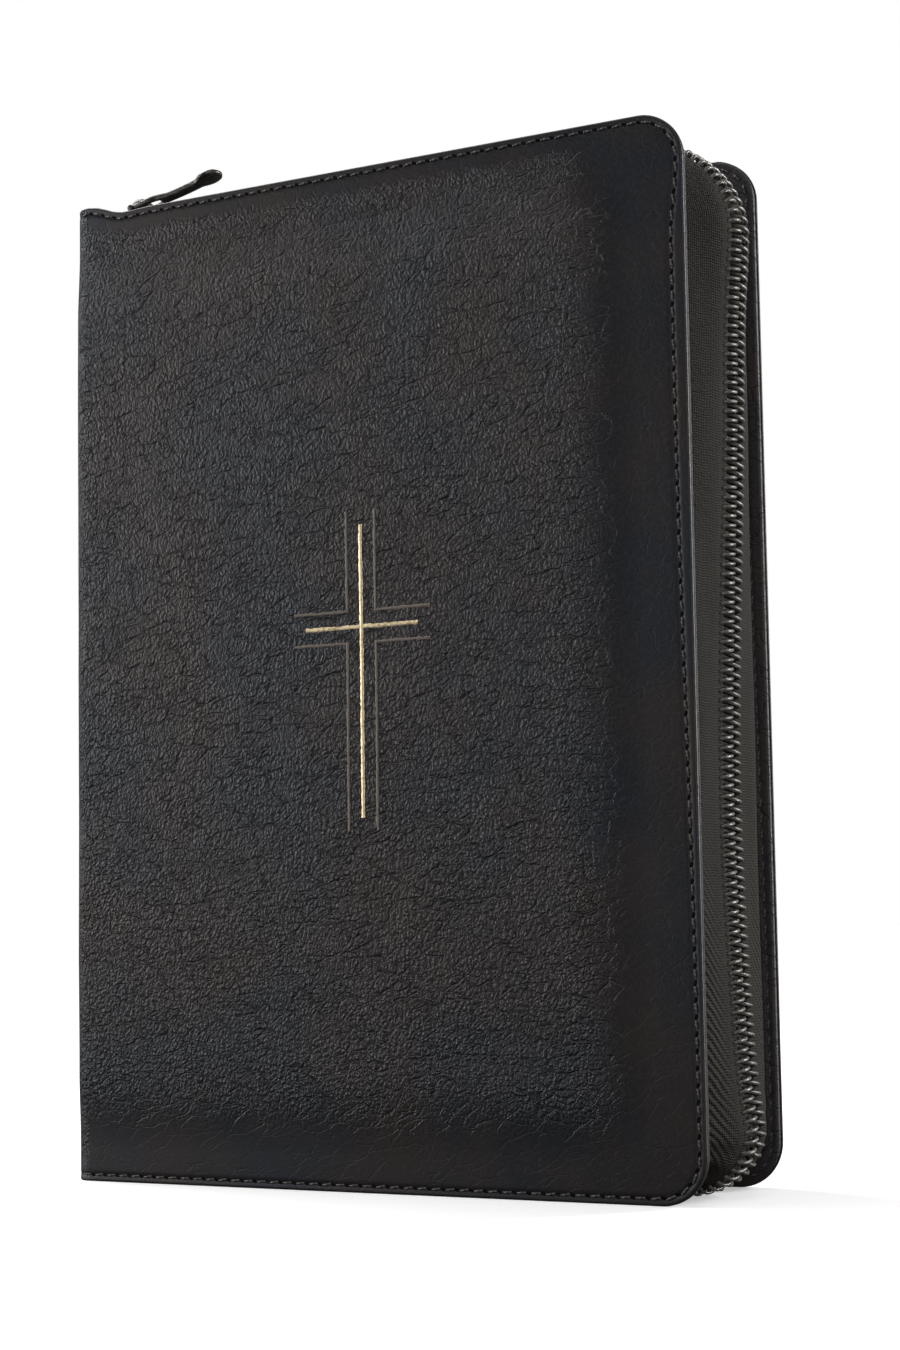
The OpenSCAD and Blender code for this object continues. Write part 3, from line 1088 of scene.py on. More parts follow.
@dataclass(frozen=True)
class CoverSkin:
    """The outer face of a cover and half of the spine, as a height for each place."""

    book: BookFrame
    spine_r: float = 4.0
    roll: float = 0.4
    stitch_inset: float = 1.35
    stitch_sway: float = 1.3
    groove: float = 0.20
    thickness: float = 1.1

    def sway(self, z: Array) -> Array:
        """How much further in the stitches run along the fore-edge, most on its upper half.

        Args:
            z: heights.
        Returns:
            Extra distance from the edge; it eases to nothing before both corners.
        """
        rise = smooth((z - 30.0) / 120.0)
        return self.stitch_sway * rise * (1 - smooth((z - (self.book.height - 24.0)) / 14.0))

    def base(self, x: Array, z: Array) -> Array:
        """Height from the middle plane without the seam and the rolled edge.

        It rises from the margin to the panel, less a little slack: products of slow sine waves.
        Args:
            x: places along the cover.
            z: heights.
        Returns:
            The distances from the middle plane.
        """
        b = self.book
        share = b.panel(x, z)
        slack = 0.10 * np.sin(x * 0.071 + 1.3) * np.sin(z * 0.043 + 0.4) + 0.05 * np.sin(x * 0.19 + z * 0.11)
        y = b.margin_y + (b.half_t - b.margin_y) * share - np.abs(slack) * share
        return y - 0.25 * bell(z, b.panel_high + 1.5, 1.6) * bell(x, b.spine_x + 60.0, 60.0)

    def height(self, x: Array, z: Array) -> Array:
        """Height of the finished surface: a groove under the stitches and a small rolled edge.

        The groove is a bell curve; the rolled edge and the turn into the spine are quarter circles.
        Args:
            x: places along the cover.
            z: heights.
        Returns:
            The distances from the middle plane.
        """
        b = self.book
        d = b.inset(x, z)
        y = self.base(x, z) - self.groove * bell(d - self.sway(z), self.stitch_inset, 0.5)
        short = np.clip(self.roll - d, 0.0, self.roll)
        y = y - (self.roll - np.sqrt(self.roll**2 - short**2))
        turned = np.clip((b.hinge_x - x) / self.spine_r, 0.0, 1.0)
        middle = b.half_t - self.spine_r
        return middle + (y - middle) * np.sqrt(1 - turned**2)


# Distances in from an edge at which a cover's grid has its rows: closest over the rolled edge and
# the seam.
STEPS = np.array(
    [0, 0.02, 0.08, 0.18, 0.32, 0.5, 0.7, 0.9, 1.15, 1.4, 1.62, 1.82, 2.0, 2.2, 2.4, 2.6, 2.8, 3.05, 3.4, 4,
     4.8, 5.7, 6.7, 7.8, 9, 10, 11, 12, 13, 14, 15, 16, 17, 18.5, 20, 22]
)


@dataclass
class Cover:
    """One cover: outer leather with half of the spine, inner leather, stitches on both faces."""

    book: BookFrame
    side: Side
    lining_inset: float = 0.15
    lining_roll: float = 0.45
    lining_start: float = 1.5
    inner_stitch: float = 1.7
    stitch_pitch: float = 3.0
    stitch_long: float = 2.5
    stitch_rise: float = 0.16
    stitch_dive: float = 0.34
    stitch_lean: float = 7.0
    thread: float = 0.21
    hole: tuple[float, float] = (0.60, 0.34)
    hole_lean: float = 0.35
    turned_in: float = 3.0

    def __post_init__(self) -> None:
        """Makes the surface that the leather and stitches share."""
        self.skin = CoverSkin(self.book)

    def fold(self, made: bpy.types.Object) -> bpy.types.Object:
        """Lets a piece bend at the fold between the spine and this cover.

        Args:
            made: the piece.
        Returns:
            The same piece.
        """
        b = self.book
        y = self.side.value * b.half_t * MM
        start = ((b.hinge_x - b.fold_before) * MM, y, 0.0)
        end = ((b.hinge_x + b.fold_after) * MM, y, 0.0)
        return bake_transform(made, "book", self.side.body, start, end)

    def rows(self, margin: float = 0.0) -> Array:
        """Heights of the grid's rows, close together near the head and tail.

        Args:
            margin: how far inside the cover's outline the first and last rows lie.
        Returns:
            The heights, rising.
        """
        top = self.book.height - margin
        middle = np.linspace(22, self.book.height - 22, 74)[1:-1]
        return np.concatenate([margin + STEPS, middle, (top - STEPS)[::-1]])

    def face(self, x0: float, z: Array, margin: float = 0.0) -> Array:
        """Places along X of each row's points, close together near the fore-edge.

        Args:
            x0: where every row starts.
            z: the rows' heights.
            margin: how far inside the cover's outline the rows end.
        Returns:
            One row of places for each height.
        """
        wide = self.book.edge_x - margin - x0
        steps = np.concatenate([np.linspace(wide, 22, 52)[:-1], STEPS[::-1]])
        end = self.book.outline_x(z) - margin
        return x0 + (end - x0)[:, None] * (1 - steps / wide)[None, :]

    def leather(self) -> bpy.types.Object:
        """The outer skin: flat half spine, a quarter turn, the face, and turned edges all round.

        Each row runs from the middle of the spine round to the fore-edge. One more row and column
        past each edge drops through the leather's thickness, and another runs back inside.
        Returns:
            The piece.
        """
        b, skin = self.book, self.skin
        hollow = 0.955  # the inner face of the spine, as a share of the outer one's Y
        z = self.rows()
        x_face = self.face(b.hinge_x, z)
        middle = b.half_t - skin.spine_r
        turn = np.linspace(0, math.pi / 2, 13)[1:-1]
        flat = np.linspace(0, 1, 12)
        zz = np.broadcast_to(z[:, None], (len(z), len(flat) + len(turn)))
        x_turn = b.hinge_x - skin.spine_r * np.cos(turn)
        x_left = np.concatenate([np.full(len(flat), b.spine_x), x_turn])
        x_left = np.broadcast_to(x_left, zz.shape)
        edge_drop = b.inset(x_left + 20, zz)
        short = np.clip(skin.roll - edge_drop, 0.0, skin.roll)
        drop = skin.roll - np.sqrt(skin.roll**2 - short**2)
        y_turn = skin.height(np.broadcast_to(x_turn, (len(z), len(turn))), zz[:, : len(turn)])
        y_left = np.concatenate([np.broadcast_to(flat * middle, (len(z), len(flat))), y_turn], 1)
        slack = 0.25 * np.sin(zz * 0.055 + 0.6) * np.sin(zz * 0.021) * np.cos(y_left / b.half_t * 1.2)
        x_left = x_left + drop * (y_left <= middle + 2.0) + np.abs(slack)
        z_face = np.broadcast_to(z[:, None], x_face.shape)
        y_face = skin.height(x_face, z_face)
        x = np.concatenate([x_left, x_face], 1)
        y = np.concatenate([y_left, y_face], 1)
        height = np.broadcast_to(z[:, None], x.shape)
        panel = np.concatenate([np.full(x_left.shape, 0.9), b.panel(x_face, z_face)], 1)
        low_end = smooth((height - 3.0) / 8.0) * 0.8 + 0.2
        top_end = smooth((b.height - height - 2.5) / 4.0) * smooth((b.panel_x - x) / 12.0) * 0.75
        panel = np.minimum(np.maximum(panel, top_end * (height > b.height / 2)), low_end)
        points = np.stack([x, -y, height], -1)
        middle_line = points[:, :, 0] < b.hinge_x - 1.5
        inner = points.copy()
        inner[..., 0] = np.where(middle_line, inner[..., 0] + skin.thickness, inner[..., 0])
        inner[..., 1] = np.where(middle_line, inner[..., 1] * hollow, -(b.seam_y + 0.05))

        deep = inner.copy()
        deep[..., 2] += np.where(height > b.height / 2, -self.turned_in, self.turned_in)
        grid = np.concatenate([deep[:1], inner[:1], points, inner[-1:], deep[-1:]])
        past = grid.copy()
        past[2:-2, :, 1] = inner[..., 1]
        within = past.copy()
        within[..., 0] -= self.turned_in
        grid = np.concatenate([grid, past[:, -1:], within[:, -1:]], 1)
        cut = np.zeros(grid.shape[:2])
        cut[:2] = cut[-2:] = 1.0
        cut[:, -2:] = 1.0
        mask = np.pad(panel, ((2, 2), (0, 2)), mode="edge")
        grid[..., 2] += b.lift(grid[..., 0], grid[..., 2])
        rows, cols = grid.shape[:2]
        along = np.linalg.norm(np.diff(points[len(z) // 2], axis=0), axis=1)
        u = np.concatenate([[0], np.cumsum(along)])
        u = np.concatenate([u, u[-1] + np.array([1.0, 3.0])])
        uv = np.stack(np.broadcast_arrays(u[None, :], grid[..., 2]), -1).reshape(-1, 2)
        values = {"panel": mask.ravel(), "cut": cut.ravel()}
        shape = Shape(grid.reshape(-1, 3), [grid_faces(rows, cols)], uv, values)
        made = shape.mirrored(self.side).piece(f"{self.side.word}_cover_leather", LEATHER, crisp=None)
        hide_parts(f"{self.side.word}_leather")
        if self.side is Side.FRONT:
            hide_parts("spine_leather")
        return self.fold(made)

    def lining(self) -> bpy.types.Object:
        """The inner skin, level, with a small rolled edge that meets the outer skin in a seam.

        Its edge is a quarter circle, and a low ridge runs under its stitches.
        Returns:
            The piece.
        """
        b, roll = self.book, self.lining_roll
        z = self.rows(self.lining_inset)
        x = self.face(b.spine_x + self.lining_start, z, self.lining_inset)
        height = np.broadcast_to(z[:, None], x.shape)
        d = np.maximum(b.inset(x, height) - self.lining_inset, 0.0)
        short = np.clip(roll - d, 0.0, roll)
        ridge = 0.14 * bell(d - self.skin.sway(height), self.inner_stitch - 0.15, 0.5)
        y = b.inner_y + roll - np.sqrt(roll**2 - short**2) + ridge
        points = np.stack([x, -y, height], -1)
        past = points[:, -1:].copy()
        past[..., 1] = -(b.seam_y - 0.03)
        grid = np.concatenate([points, past], 1)
        low, high = grid[:1].copy(), grid[-1:].copy()
        low[..., 1] = high[..., 1] = -(b.seam_y - 0.03)
        grid = np.concatenate([low, grid, high], 0)
        grid[..., 2] += b.lift(grid[..., 0], grid[..., 2])
        rows, cols = grid.shape[:2]
        cut = np.zeros((rows, cols))
        cut[0] = cut[-1] = 1.0
        cut[:, -1] = 1.0
        uv = grid[..., [0, 2]].reshape(-1, 2) + np.array([300.0, 0.0])
        values = {"panel": np.full(rows * cols, 0.65), "cut": cut.ravel()}
        shape = Shape(grid.reshape(-1, 3), [grid_faces(rows, cols, flip=True)], uv, values)
        made = shape.mirrored(self.side).piece(f"{self.side.word}_cover_lining", LINING, crisp=None)
        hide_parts(f"{self.side.word}_lining")
        return self.fold(made)

    def seam(self, inset: float, start: float) -> tuple[Array, Array, Array]:
        """Middle and direction of each stitch round head, fore-edge and tail.

        Args:
            inset: distance in from the cover's edge.
            start: where the row starts along X.
        Returns:
            X, Z and the direction's angle for each stitch.
        """
        b = self.book
        r = b.corner_r - inset
        run, side = b.edge_x - b.corner_r - start, b.height - 2 * b.corner_r
        arc = r * math.pi / 2
        total = 2 * run + 2 * arc + side
        count = int(total / self.stitch_pitch)
        s = (np.arange(count) + 0.5) * total / count
        a1 = np.clip((s - run) / arc, 0, 1) * math.pi / 2
        a2 = np.clip((s - run - arc - side) / arc, 0, 1) * math.pi / 2
        last = np.maximum(s - run - 2 * arc - side, 0.0)
        x = start + np.minimum(s, run) + r * np.sin(a1) - r * (1 - np.cos(a2)) - last
        down = np.clip(s - run - arc, 0, side)
        z = b.height - inset - r * (1 - np.cos(a1)) - down - r * np.sin(a2)
        return x, z, -(a1 + a2)

    def stitches(self) -> list[bpy.types.Object]:
        """Stitches on the outer and the inner face, with a flat dark disc of painted shade for the needle
        hole at the end of each outer one.

        Returns:
            The rows of stitches and the painted hole shades.
        """
        made = []
        for inner in (False, True):
            inset = self.inner_stitch if inner else self.skin.stitch_inset
            x, z, angle = self.seam(inset, self.book.spine_x + (3.2 if inner else 1.6))
            x = x - self.skin.sway(z)
            made.append(self.thread_row(x, z, angle, inner))
            if not inner:
                # painted shade: dark discs for the needle holes
                made.append(self.holes(x, z, angle))
        return made

    def face_height(self, x: Array, z: Array, inner: bool) -> Array:
        """Height of the outer or the inner face under a stitch.

        Args:
            x: places along the cover.
            z: heights.
            inner: True for the inner face.
        Returns:
            The distances from the middle plane.
        """
        return np.full(x.shape, self.book.inner_y + 0.12) if inner else self.skin.height(x, z)

    def thread_row(self, x: Array, z: Array, angle: Array, inner: bool) -> bpy.types.Object:
        """Short bowed stitches: each is a tube that rises from one hole and dives into the next.

        Its middle stands at rise * (1 - t^2) - dive * t^6 for t from -1 to 1, and it thins as t^4.
        Args:
            x: middles along X.
            z: middles along Z.
            angle: directions.
            inner: True for the inner face.
        Returns:
            The piece.
        """
        seed = np.random.default_rng(7 if inner else 3)
        lean = np.radians(-self.stitch_lean if inner else self.stitch_lean) + seed.normal(0, 0.04, len(x))
        t = np.linspace(-1, 1, 7)
        ring = np.arange(6) * math.pi / 3
        thick = self.thread * (1 - 0.55 * t**4) * (1 + seed.normal(0, 0.06, (len(x), 1)))
        along = t * self.stitch_long / 2
        a = (angle + lean)[:, None]
        cx, cz = x[:, None] + along * np.cos(a), z[:, None] + along * np.sin(a)
        top = self.stitch_rise * (1 - t**2) - self.stitch_dive * t**6
        base = self.face_height(cx, cz, inner)
        cy = base - top if inner else base + top
        wide = thick[..., None] * np.cos(ring)
        tall = thick[..., None] * 0.8 * np.sin(ring)
        px = cx[..., None] - wide * np.sin(a)[..., None]
        pz = cz[..., None] + wide * np.cos(a)[..., None]
        py = cy[..., None] + tall
        pz = pz + self.book.lift(px, pz)
        points = np.stack([px, -py, pz], -1)
        count, rows, cols = points.shape[:3]
        one = grid_faces(rows, cols, ring=True)
        faces = (one[None] + (np.arange(count) * rows * cols)[:, None, None]).reshape(-1, 4)
        caps = np.stack([np.arange(cols)[::-1], (rows - 1) * cols + np.arange(cols)])
        caps = (caps[None] + (np.arange(count) * rows * cols)[:, None, None]).reshape(-1, cols)
        u = np.broadcast_to(ring[None, None, :] * self.thread, px.shape)
        v = np.broadcast_to(along[None, :, None], px.shape)
        uv = np.stack([u, v], -1).reshape(-1, 2)
        shape = Shape(points.reshape(-1, 3), [faces, caps], uv)
        name = f"{self.side.word}_{'inner' if inner else 'outer'}_stitches"
        made = shape.mirrored(self.side).piece(name, THREAD, crisp=None)
        if not inner:
            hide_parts(f"{self.side.word}_stitching")
        return self.fold(made)

    def holes(self, x: Array, z: Array, angle: Array) -> bpy.types.Object:
        """Flat dark discs of painted shade for the needle holes between the stitches, lying in the groove.

        Args:
            x: the stitches' middles along X.
            z: the stitches' middles along Z.
            angle: their directions.
        Returns:
            The piece: one leaning oval for each gap.
        """
        mid_x, mid_z = (x[1:] + x[:-1]) / 2, (z[1:] + z[:-1]) / 2
        a = (angle[1:] + angle[:-1]) / 2 - self.hole_lean
        ring = np.arange(8) * math.pi / 4
        along, across = self.hole[0] * np.cos(ring), self.hole[1] * np.sin(ring)
        px = mid_x[:, None] + along * np.cos(a)[:, None] - across * np.sin(a)[:, None]
        pz = mid_z[:, None] + along * np.sin(a)[:, None] + across * np.cos(a)[:, None]
        py = self.skin.height(px, pz) + 0.03
        pz = pz + self.book.lift(px, pz)
        points = np.stack([px, -py, pz], -1)
        faces = np.arange(points.shape[0] * 8).reshape(-1, 8)
        shape = Shape(points.reshape(-1, 3), [faces], points[..., [0, 2]].reshape(-1, 2))
        made = shape.mirrored(self.side).piece(f"{self.side.word}_needle_holes", HOLE_SHADE, crisp=None)
        return self.fold(made)

    def build(self) -> list[bpy.types.Object]:
        """Returns: every piece of the cover."""
        return [self.leather(), self.lining(), *self.stitches()]


@dataclass
class Ornament:
    """The stamped cross: a gold cross and four grey corner lines, laid on the leather."""

    book: BookFrame
    skin: CoverSkin
    line: float = 0.8
    outline: float = 0.56
    raise_by: float = 0.05
    rough: float = 0.055
    gap: tuple[float, float] = (3.22, 3.12)
    arm_share: float = 37.0 / 57.0

    def strip(self, ends: Array, width: float, seed: int) -> Shape:
        """A flat line of foil between two or more corners, its edges slightly rough.

        Args:
            ends: corners in X and Z.
            width: width of the line.
            seed: picks the roughness.
        Returns:
            The strip, with a thin edge turned down into the leather.
        """
        random = np.random.default_rng(seed)
        legs = np.diff(ends, axis=0)
        long = np.linalg.norm(legs, axis=1)
        s = np.unique(np.concatenate([np.arange(0, long.sum(), 0.5), np.cumsum(long)]))
        at = np.concatenate([[0], np.cumsum(long)])
        x, z = np.interp(s, at, ends[:, 0]), np.interp(s, at, ends[:, 1])
        leg = np.clip(np.searchsorted(at, s, side="left") - 1, 0, len(long) - 1)
        run = legs[leg] / long[leg][:, None]
        normal = np.stack([-run[:, 1], run[:, 0]], -1)
        for i in range(1, len(long)):
            at_corner = np.isclose(s, at[i])
            both = normal[at_corner] + np.array([-legs[i][1], legs[i][0]]) / long[i]
            normal[at_corner] = both / (np.linalg.norm(both, axis=1)[:, None] ** 2) * 2
        offset = np.array([-0.5, -0.46, 0.0, 0.46, 0.5]) * width
        jitter = random.normal(0, self.rough, (len(s), 2))
        shift = offset[None, :] + np.concatenate(
            [jitter[:, :1], jitter[:, :1], np.zeros((len(s), 1)), jitter[:, 1:], jitter[:, 1:]], 1
        )
        px = x[:, None] + normal[:, :1] * shift
        pz = z[:, None] + normal[:, 1:] * shift
        up = np.array([-0.12, 1.0, 1.1, 1.0, -0.12]) * self.raise_by
        py = self.skin.height(px, pz) + up[None, :]
        points = np.stack([px, -py, pz], -1)
        rows, cols = points.shape[:2]
        uv = np.stack(np.broadcast_arrays(shift, s[:, None]), -1).reshape(-1, 2)
        return Shape(points.reshape(-1, 3), [grid_faces(rows, cols, flip=True)], uv)

    def build(self) -> list[bpy.types.Object]:
        """Returns: the gold cross and its outline."""
        (x0, _, z0), (x1, _, z1) = low("gold_cross"), high("gold_cross")
        middle = (x0 + x1) / 2
        arm = z0 + (z1 - z0) * self.arm_share
        gold = [
            self.strip(np.array([[middle, z0], [middle, z1]]), self.line, 11),
            self.strip(np.array([[x0, arm], [x1, arm]]), self.line, 12),
        ]
        (a0, _, b0), (a1, _, b1) = low("cross_outline"), high("cross_outline")
        lines = []
        for across, tip_x in ((-1, a0), (1, a1)):
            for up, tip_z in ((-1, b0), (1, b1)):
                corner = (middle + across * self.gap[0], arm + up * self.gap[1])
                ends = np.array([[corner[0], tip_z], corner, [tip_x, corner[1]]])
                lines.append(self.strip(ends, self.outline, 20 + across + 3 * up))
        cross = Shape.join(gold).piece("gold_cross_foil", GOLD, crisp=None)
        outline = Shape.join(lines).piece("cross_outline_foil", GREY_FOIL, crisp=None)
        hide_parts("gold_cross")
        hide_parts("cross_outline")
        return [
            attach(cross, "front_cover"),
            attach(outline, "front_cover"),
        ]


# ---------------------------------------------------------------- the zip


# Half of the tape in section, as (outwards from the chain's line, across from the middle): under
# the coil, flat past the slider, sloping down, and lying on the lining.
TAPE_SECTION = np.array(
    [[0.1, 2.6], [0.12, 3.6], [0.1, 4.9], [-0.05, 6.3], [-0.8, 8.2], [-1.75, 10.2], [-2.75, 12.2],
     [-3.7, 14.0], [-4.5, 15.2], [-5.2, 15.75], [-6.3, 15.84], [-7.7, 15.84], [-9.2, 15.84]]
)
HEM_START = 8
# One end tape in section, in the same way: out along its upper face and back along its lower one.
END_SECTION = np.array(
    [[0.1, 2.6], [0.12, 3.6], [0.1, 4.9], [-0.1, 6.3], [-1.2, 7.8], [-2.4, 9.3], [-3.6, 10.8],
     [-4.8, 12.0], [-5.2, 12.0], [-4.2, 10.2], [-3.0, 8.7], [-1.7, 7.2], [-0.5, 6.1], [-0.35, 4.9],
     [-0.35, 2.6]]
)


@dataclass(frozen=True)
class ZipPath:
    """The chain's middle line round head, fore-edge and tail, with the slack a soft zip has."""

    book: BookFrame

    def legs(self) -> tuple[float, float, float, float, float]:
        """Returns: the lengths of head run, head corner, fore-edge run, tail corner and tail run."""
        b = self.book
        head, tail = (b.chain_x - r - b.chain_start for r in (b.chain_r, b.chain_tail_r))
        side = b.chain_head - b.chain_tail - b.chain_r - b.chain_tail_r
        return head, b.chain_r * math.pi / 2, side, b.chain_tail_r * math.pi / 2, tail

    def length(self) -> float:
        """Returns: the whole length of the line."""
        return sum(self.legs())

    def taut(self, s: Array) -> tuple[Array, Array]:
        """Points and outward directions of the line without any slack.

        A straight run, a quarter circle, the fore-edge, a smaller quarter circle and a run back.
        Args:
            s: distances from the start at the head.
        Returns:
            Points (N by 3, at Y 0) and unit directions (N by 3).
        """
        b = self.book
        head, corner, side, bend, _ = self.legs()
        past = s > head + corner + side / 2
        a = np.clip((s - head) / corner, 0, 1) + np.clip((s - head - corner - side) / bend, 0, 1)
        a = a * math.pi / 2
        out = np.stack([np.sin(a), np.zeros_like(a), np.cos(a)], -1)
        down = np.clip(s - head - corner, 0.0, side)
        last = np.maximum(s - head - corner - side - bend, 0.0)
        radius = np.where(past, b.chain_tail_r, b.chain_r)
        centre_x = np.where(past, b.chain_x - b.chain_tail_r - last, b.chain_start + np.minimum(s, head))
        up_z = b.chain_tail + b.chain_tail_r + side - down
        centre_z = np.where(past, up_z, b.chain_head - b.chain_r - down)
        centre = np.stack([centre_x, np.zeros_like(s), centre_z], -1)
        return centre + out * radius[:, None], out

    def slack(self, s: Array) -> Array:
        """How far the soft zip stands outside its taut line: a sum of bell curves.

        It stands out near the head corner, sinks in along the lower half of the fore-edge, and
        sinks a little on the head run beside its corner.
        Args:
            s: distances from the start at the head.
        Returns:
            The distances outwards.
        """
        points, out = self.taut(s)
        x, z = points[:, 0], points[:, 2]
        bulge = 1.3 * bell(z, 184, 16) - 3.6 * bell(z, 72, 62) + 1.3 * bell(z, 8, 10)
        dip = -1.5 * bell(x, 50, 14) * (z > self.book.height / 2)
        return bulge * out[:, 0] ** 2 + dip * np.maximum(out[:, 2], 0) ** 2

    def at(self, s: Array) -> tuple[Array, Array]:
        """Points and outward directions of the line with its slack.

        Args:
            s: distances from the start at the head.
        Returns:
            Points (N by 3, at Y 0) and unit directions (N by 3).
        """
        points, out = self.taut(s)
        points = points + out * self.slack(s)[:, None]
        turn = np.gradient(points[:, [0, 2]], axis=0)
        turn = turn / np.linalg.norm(turn, axis=1)[:, None]
        return points, np.stack([-turn[:, 1], np.zeros_like(s), turn[:, 0]], -1)


@dataclass
class ZipSide:
    """One cover's half of the zip: the woven tape and the coil."""

    book: BookFrame
    side: Side
    pitch: float = 1.8
    wire: float = 0.36
    middle: float = 1.75
    reach: float = 2.15
    tall: float = 1.15
    stand: float = 0.28
    tape_t: float = 0.5

    def __post_init__(self) -> None:
        """Makes the path both pieces follow."""
        self.path = ZipPath(self.book)

    def coil_shape(self, line: Callable[[Array], tuple[Array, Array]], s0: float, s1: float) -> Shape:
        """One continuous coil: a wire wound flat, its turns 1.8 mm apart.

        Across the chain it goes as middle - reach * cos(turn), outwards as tall * sin(turn), and it
        moves one pitch along for each turn. The back cover's coil is half a pitch further on.
        Args:
            line: gives points and outward directions for distances.
            s0: start along the line.
            s1: end along the line.
        Returns:
            The coil, drawn for the front.
        """
        steps, sides = 14, 6
        turns = int((s1 - s0) / self.pitch)
        turn = np.arange(turns * steps + 1) * 2 * math.pi / steps
        half = 0.5 if self.side is Side.BACK else 0.0
        s = s0 + self.pitch * (turn / (2 * math.pi) + half)
        s = np.minimum(s, s1)
        sample = np.linspace(s0, s1, max(int((s1 - s0) / 0.5), 8))
        centre, out = line(sample)
        centre = np.stack([np.interp(s, sample, centre[:, i]) for i in range(3)], -1)
        out = np.stack([np.interp(s, sample, out[:, i]) for i in range(3)], -1)
        c, sn = np.cos(turn), np.sin(turn)
        across = self.middle - self.reach * np.sign(c) * np.abs(c) ** 0.85
        lift = self.stand + self.tall * np.sign(sn) * np.abs(sn) ** 0.9
        points = centre + out * lift[:, None]
        points[:, 1] = -across
        run = np.gradient(points, axis=0)
        run = run / np.linalg.norm(run, axis=1)[:, None]
        radial = out * np.sin(turn)[:, None] + np.array([0, -1.0, 0]) * -c[:, None]
        one = radial - run * (radial * run).sum(1)[:, None]
        one = one / np.linalg.norm(one, axis=1)[:, None]
        two = np.cross(run, one)
        ring = np.arange(sides) * 2 * math.pi / sides
        profile = np.stack([np.cos(ring), np.sin(ring)], -1) * self.wire
        return sweep(points, one, two, profile)

    def coil(self) -> bpy.types.Object:
        """Returns: the coil on this cover, round all three edges."""
        shape = self.coil_shape(self.path.at, 0.0, self.path.length())
        word = self.side.word
        made = shape.mirrored(self.side).piece(f"{word}_zip_coil", COIL, crisp=None)
        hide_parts(f"{word}_zip_teeth", f"{word}_head_teeth")
        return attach(made, self.side.body)

    def tape(self) -> bpy.types.Object:
        """The tape: from under the coil, flat past the slider, then sloping down to the lining.

        The section is the same all along, except that the slope gathers in soft waves where the
        tape has to turn the two corners.
        Returns:
            The piece.
        """
        v = np.concatenate([[0], np.cumsum(np.linalg.norm(np.diff(TAPE_SECTION, axis=0), axis=1))])
        s = np.linspace(0.0, self.path.length(), 560)
        centre, out = self.path.at(s)
        free = bell(v, 8.0, 4.0)[None, :]
        a = np.abs(out[:, 0] * out[:, 2])[:, None] * 2
        wave = 0.28 * a * np.sin(s[:, None] * 2 * math.pi / 5.5) + 0.22 * np.sin(s[:, None] * 0.11 + 1.0)
        held = smooth((v - 2.0) / (v[HEM_START] - 2.0))[None, :] * self.path.slack(s)[:, None]
        lift = TAPE_SECTION[None, :, 0] - held + wave * free
        points = centre[:, None, :] + out[:, None, :] * lift[..., None]
        points[..., 1] = -TAPE_SECTION[None, :, 1]
        rows, cols = points.shape[:2]
        uv = np.stack(np.broadcast_arrays(v[None, :], s[:, None]), -1).reshape(-1, 2)
        low = smooth((75.0 - points[..., 2]) / 45.0) * (points[..., 0] > 40.0)
        gather = (0.12 + 0.88 * low) * bell(v, 10.0, 4.5)[None, :]
        values = {"gather": gather.ravel()}
        shape = Shape(points.reshape(-1, 3), [grid_faces(rows, cols, flip=True)], uv, values)
        word = self.side.word
        made = shape.mirrored(self.side).piece(f"{word}_tape_cloth", TAPE, crisp=None)
        solid = made.modifiers.new("thickness", "SOLIDIFY")
        solid.thickness = self.tape_t * MM
        solid.offset = 0.0
        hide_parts(f"{word}_zip_tape")
        long, wide = self.path.length() * MM, float(v[-1]) * MM
        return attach(made, self.side.body)

    def build(self) -> list[bpy.types.Object]:
        """Returns: the coil and the tape."""
        return [self.coil(), self.tape()]


@dataclass
class ZipEnds:
    """The fixed ends of the zip at the spine, and the short closed chain beside the slider."""

    book: BookFrame

    def tape(self, edge: Edge) -> bpy.types.Object:
        """Both end tapes at the head or the tail, bowed from the chain down into the spine.

        Args:
            edge: the head or the tail.
        Returns:
            The piece.
        """
        b = self.book
        node, z = ("zip_end_head", b.chain_head) if edge is Edge.HEAD else ("zip_end_tail", b.chain_tail)
        x = np.linspace(low(node)[0], high(node)[0], 8)
        line = np.stack([x, np.zeros_like(x), np.full_like(x, z)], -1)
        across = steady(line, 0.0, 0.0, edge.value)
        halves = []
        for side in Side:
            half = sweep(line, across, steady(line, 0.0, side.value, 0.0), END_SECTION)
            if side.value * edge.value < 0:
                half.faces = [f[:, ::-1] for f in half.faces]
            half.values = {"gather": np.full(len(half.points), 0.2)}
            halves.append(half)
        made = Shape.join(halves).piece(f"{node}_tape", TAPE, crisp=50)
        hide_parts(node)
        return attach(made, "book")

    def level(self, x: Array) -> tuple[Array, Array]:
        """A straight line along the head, at the chain's height.

        Args:
            x: places along it.
        Returns:
            Points (N by 3) and the upward direction at each.
        """
        points = np.stack([x, np.zeros_like(x), np.full_like(x, self.book.chain_head)], -1)
        return points, steady(points, 0.0, 0.0, 1.0)

    def chain(self) -> bpy.types.Object:
        """Returns: the short bit of both coils between the slider and the covers' chain."""
        x0, x1 = low("zip_end_teeth")[0], high("zip_end_teeth")[0]
        small = {"wire": 0.3, "middle": 1.45, "reach": 1.65, "tall": 0.8, "stand": 0.0}
        halves = [
            ZipSide(self.book, side, **small).coil_shape(self.level, x0, x1).mirrored(side) for side in Side
        ]
        made = Shape.join(halves).piece("zip_end_coil", COIL, crisp=None)
        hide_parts("zip_end_teeth")
        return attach(made, "book")

    def build(self) -> list[bpy.types.Object]:
        """Returns: the end tapes and the short chain."""
        return [self.tape(Edge.HEAD), self.tape(Edge.TAIL), self.chain()]


# The crown's hood from its low front end to its back end: share of its length, place from the
# slider's middle, height.
HOOD = np.array(
    [[0.0, -4.6, 0.8], [0.10, -4.3, 2.6], [0.24, -3.5, 4.6], [0.38, -2.3, 5.3],
     [0.50, -1.0, 5.2], [0.68, 0.9, 4.0], [0.85, 2.8, 2.1], [1.0, 4.2, 0.5]]
)
